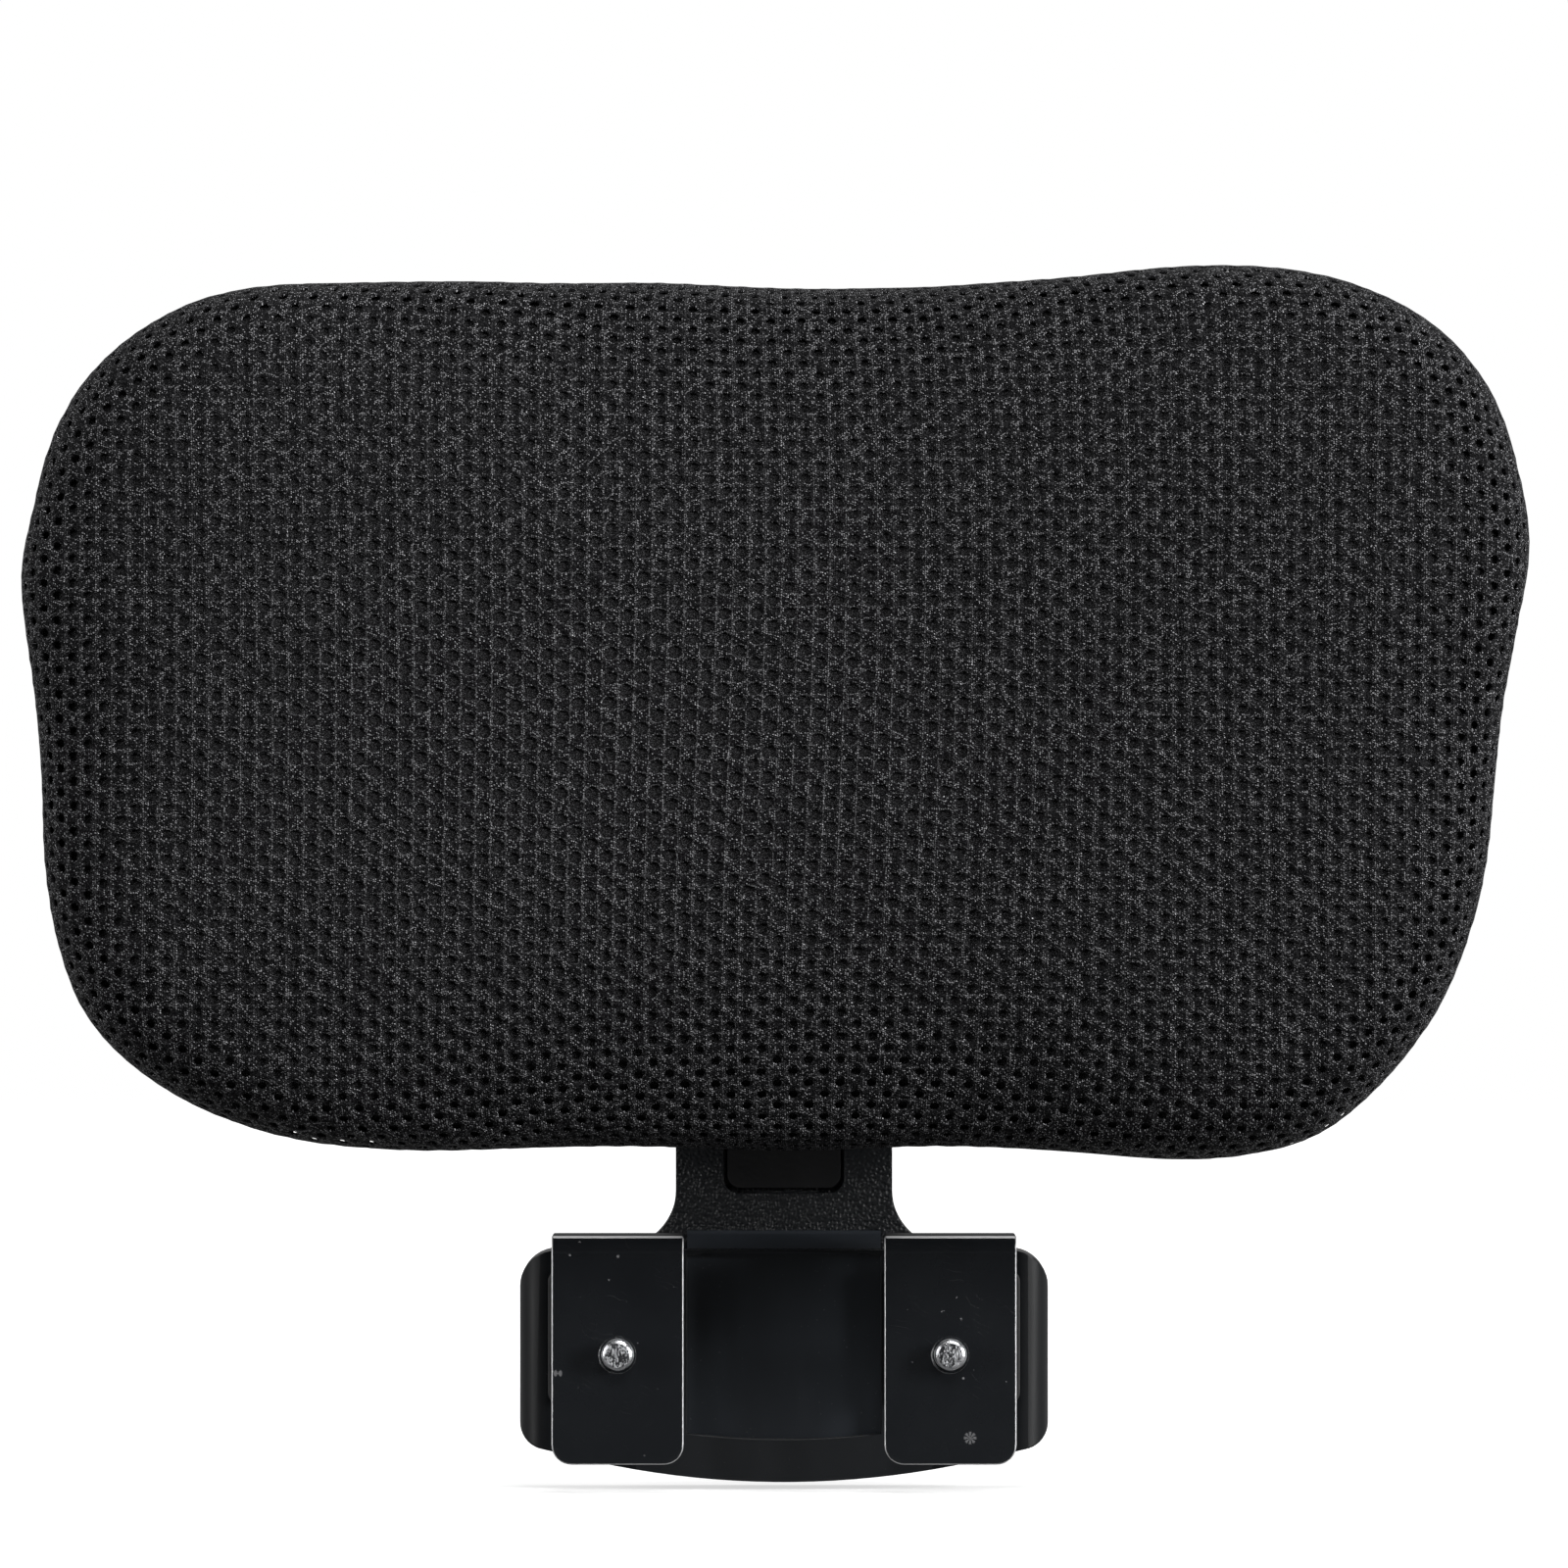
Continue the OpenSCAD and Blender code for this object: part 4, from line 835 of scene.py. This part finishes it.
    # seam allowance turned in: the last millimetre rolls inwards
    P = P + N * H[:, None]
    me = mesh_from(name, P * MM, faces)
    flat = np.stack([U / 10.0, V / 10.0], 1)
    span = float(panel.smax.max()) + 4
    set_uv(me, "OFBake", np.stack([0.5 + U / (2 * span), 0.5 + V / (2 * span)], 1))
    set_uv(me, "flat", flat)
    set_uv(me, "aux", np.stack([open_share(U, V), V / 100.0], 1))
    bm = bmesh.new(); bm.from_mesh(me)
    bmesh.ops.remove_doubles(bm, verts=[v for v, o in zip(bm.verts, over | (near <= 0)) if o], dist=4e-6)
    bmesh.ops.dissolve_degenerate(bm, dist=2e-6, edges=bm.edges)
    small = [f for f in bm.faces if f.calc_area() < 1e-11]
    bmesh.ops.delete(bm, geom=small, context="FACES")
    loose = [v for v in bm.verts if not v.link_faces]
    bmesh.ops.delete(bm, geom=loose, context="VERTS")
    bmesh.ops.recalc_face_normals(bm, faces=bm.faces)
    bm.to_mesh(me); bm.free()
    # make sure faces look outwards
    me.update()
    co = np.zeros(len(me.polygons) * 3); me.polygons.foreach_get("normal", co); co = co.reshape(-1, 3)
    ce = np.zeros(len(me.polygons) * 3); me.polygons.foreach_get("center", ce); ce = ce.reshape(-1, 3)
    sgn = np.sum(co[:, 1] * (-1 if outward_front(outward, panel) else 1))
    if sgn < 0:
        me.flip_normals()
    me.shade_smooth()
    return me

def outward_front(outward, panel):
    return panel is FRONT

# u to the right, v up: u x v points to -Y, out of the front
front_me = lattice(FRONT, 1.0, "mesh_panel_front")
front_ob = new_object("mesh_panel_front", front_me)
front_me.materials.append(M_KNIT)
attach(front_ob, "cushion"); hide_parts("mesh_cover_front")
back_me = lattice(BACK, -1.0, "mesh_panel_back", rho_in=0.70)
back_ob = new_object("mesh_panel_back", back_me)
back_me.materials.append(M_KNIT)
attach(back_ob, "cushion"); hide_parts("mesh_cover_back")
print("lattice faces", len(front_me.polygons), len(back_me.polygons))

# ---- inner layer of the spacer fabric on the foam
def liner():
    nphi, m = 240, 46
    phi = np.arange(nphi) * 2 * math.pi / nphi
    rows, flat = [], []
    inset = 2.3
    ts = np.sin(np.linspace(0, math.pi / 2, m + 1))[1:]
    verts = [front_at(np.zeros(1), np.zeros(1))[0] + np.array([0, 0.5, 0])]
    uvs = [(0.0, 0.0)]
    rim = rim_at(phi)
    for t in ts:
        P = front_at(phi, np.full(nphi, t))
        s = (rim - inset * t**3) / rim
        Q = P.copy(); Q[:, 0] *= s; Q[:, 2] = CZ + (Q[:, 2] - CZ) * s
        depth = 0.5 * (1 - t**12)
        Q[:, 1] += depth
        verts += list(Q); uvs += [(t * r * math.cos(p) / 10, t * r * math.sin(p) / 10) for r, p in zip(rim, phi)]
    for t in (0.985, 0.96, 0.92, 0.87, 0.8, 0.74, 0.69):
        P = back_at(phi, np.full(nphi, t))
        s = (rim - inset) / rim
        Q = P.copy(); Q[:, 0] *= s; Q[:, 2] = CZ + (Q[:, 2] - CZ) * s
        Q[:, 1] -= 1.6 * (1 - t**9)
        verts += list(Q); uvs += [((2 - t) * r * math.cos(p) / 10, (2 - t) * r * math.sin(p) / 10) for r, p in zip(rim, phi)]
    faces = [(0, 1 + (j + 1) % nphi, 1 + j) for j in range(nphi)]
    k = (len(verts) - 1) // nphi
    for i in range(k - 1):
        a, b = 1 + i * nphi, 1 + (i + 1) * nphi
        faces += [(a + j, a + (j + 1) % nphi, b + (j + 1) % nphi, b + j) for j in range(nphi)]
    faces.append(tuple(1 + (k - 1) * nphi + j for j in range(nphi)))
    me = mesh_from("foam_core", np.array(verts) * MM, faces)
    set_uv(me, "flat", uvs)
    bm = bmesh.new(); bm.from_mesh(me); bmesh.ops.recalc_face_normals(bm, faces=bm.faces); bm.to_mesh(me); bm.free()
    me.shade_smooth()
    ob = new_object("foam_core", me)
    me.materials.append(M_FOAM)
    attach(ob, "cushion"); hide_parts("foam_pad")
    return ob
liner()

# ---- stage, light and camera
def area(name, loc, target, sx, sy, power, color=(1, 1, 1)):
    l = bpy.data.lights.new(name, "AREA"); l.shape = "RECTANGLE"; l.size = sx; l.size_y = sy; l.energy = power; l.color = color
    o = bpy.data.objects.new(name, l); scene.collection.objects.link(o)
    o.location = loc
    o.rotation_euler = (Vector(target) - Vector(loc)).to_track_quat("-Z", "Y").to_euler()
    return o

area("key_right", (1.50, -0.80, 0.42), (0, -0.04, 0.1), 0.40, 0.8, 29)
area("fill_left", (-1.5, -0.62, 0.3), (0, -0.04, 0.1), 0.35, 0.8, 11.5)
area("front_top", (0.25, -1.35, 1.25), (0, -0.04, 0.12), 0.9, 0.6, 12.5)
area("top_rim", (0.1, -0.05, 1.4), (0, -0.03, 0.12), 0.9, 0.3, 3)

world = bpy.data.worlds.new("studio"); scene.world = world
world.use_nodes = True
nt = world.node_tree; nt.nodes.clear()
wo = nt.nodes.new("ShaderNodeOutputWorld")
b1 = nt.nodes.new("ShaderNodeBackground"); b2 = nt.nodes.new("ShaderNodeBackground"); mx = nt.nodes.new("ShaderNodeMixShader")
lp = nt.nodes.new("ShaderNodeLightPath"); tc = nt.nodes.new("ShaderNodeTexCoord"); sp = nt.nodes.new("ShaderNodeSeparateXYZ")
mr = nt.nodes.new("ShaderNodeMapRange"); mr.interpolation_type = "SMOOTHSTEP"
mr.inputs[1].default_value = -0.45; mr.inputs[2].default_value = 0.35; mr.inputs[3].default_value = 0.006; mr.inputs[4].default_value = 0.5
nt.links.new(tc.outputs["Generated"], sp.inputs[0]); nt.links.new(sp.outputs[1], mr.inputs[0])
nt.links.new(mr.outputs[0], b1.inputs[1]); b1.inputs[0].default_value = (1, 1, 1, 1)
b2.inputs[0].default_value = (1, 1, 1, 1); b2.inputs[1].default_value = 1.0
nt.links.new(lp.outputs["Is Camera Ray"], mx.inputs[0]); nt.links.new(b1.outputs[0], mx.inputs[1]); nt.links.new(b2.outputs[0], mx.inputs[2])
nt.links.new(mx.outputs[0], wo.inputs[0])

fm = bpy.data.meshes.new("floor")
R = 4.0; zf = -0.0505
fm.from_pydata([(R * math.cos(a), R * math.sin(a), zf) for a in np.linspace(0, 2 * math.pi, 64, endpoint=False)], [], [tuple(range(64))])
floor = new_object("floor", fm)
mf = Mat("floor_white")
lpf = mf.n("LightPath").outputs["Is Camera Ray"]
dist = mf.n("VectorMath", operation="LENGTH"); mf.put(dist.inputs[0], mf.objco())
far = mf.ramp(dist.outputs["Value"], 0.25, 0.9)
fx, fy, fz = mf.xyz(mf.objco())
# painted light: seen by the camera the floor is pale and glows, less within 0.25 m of the middle and fully from 0.9 m
# out; seen by light rays it is darker in front than behind, to set the light it bounces on to the object
bounce = mf.ramp(fy, -0.15, 0.15, 0.09, 0.55)
mf.set(Base_Color=mf.mix(lpf, mf.comb(bounce, bounce, bounce), rgb(0.86)), Roughness=0.9, Specular_IOR_Level=0.0)
mf.put(mf.b.inputs["Emission Color"], rgb(1.0))
mf.put(mf.b.inputs["Emission Strength"], mf.lerp(lpf, 0.0, mf.lerp(far, 0.62, 1.0)))
fm.materials.append(mf.m)

cam = bpy.data.cameras.new("camera"); camo = bpy.data.objects.new("camera", cam); scene.collection.objects.link(camo)
DIST = 3.2
camo.location = (0.0, -0.04 - DIST, 0.0925)
camo.rotation_euler = (math.pi / 2, 0, 0)
cam.sensor_width = 36.0; cam.lens = 36.0 * DIST / 0.3137
cam.clip_end = 50
scene.camera = camo
scene.view_settings.view_transform = "Standard"
scene.view_settings.look = "None"
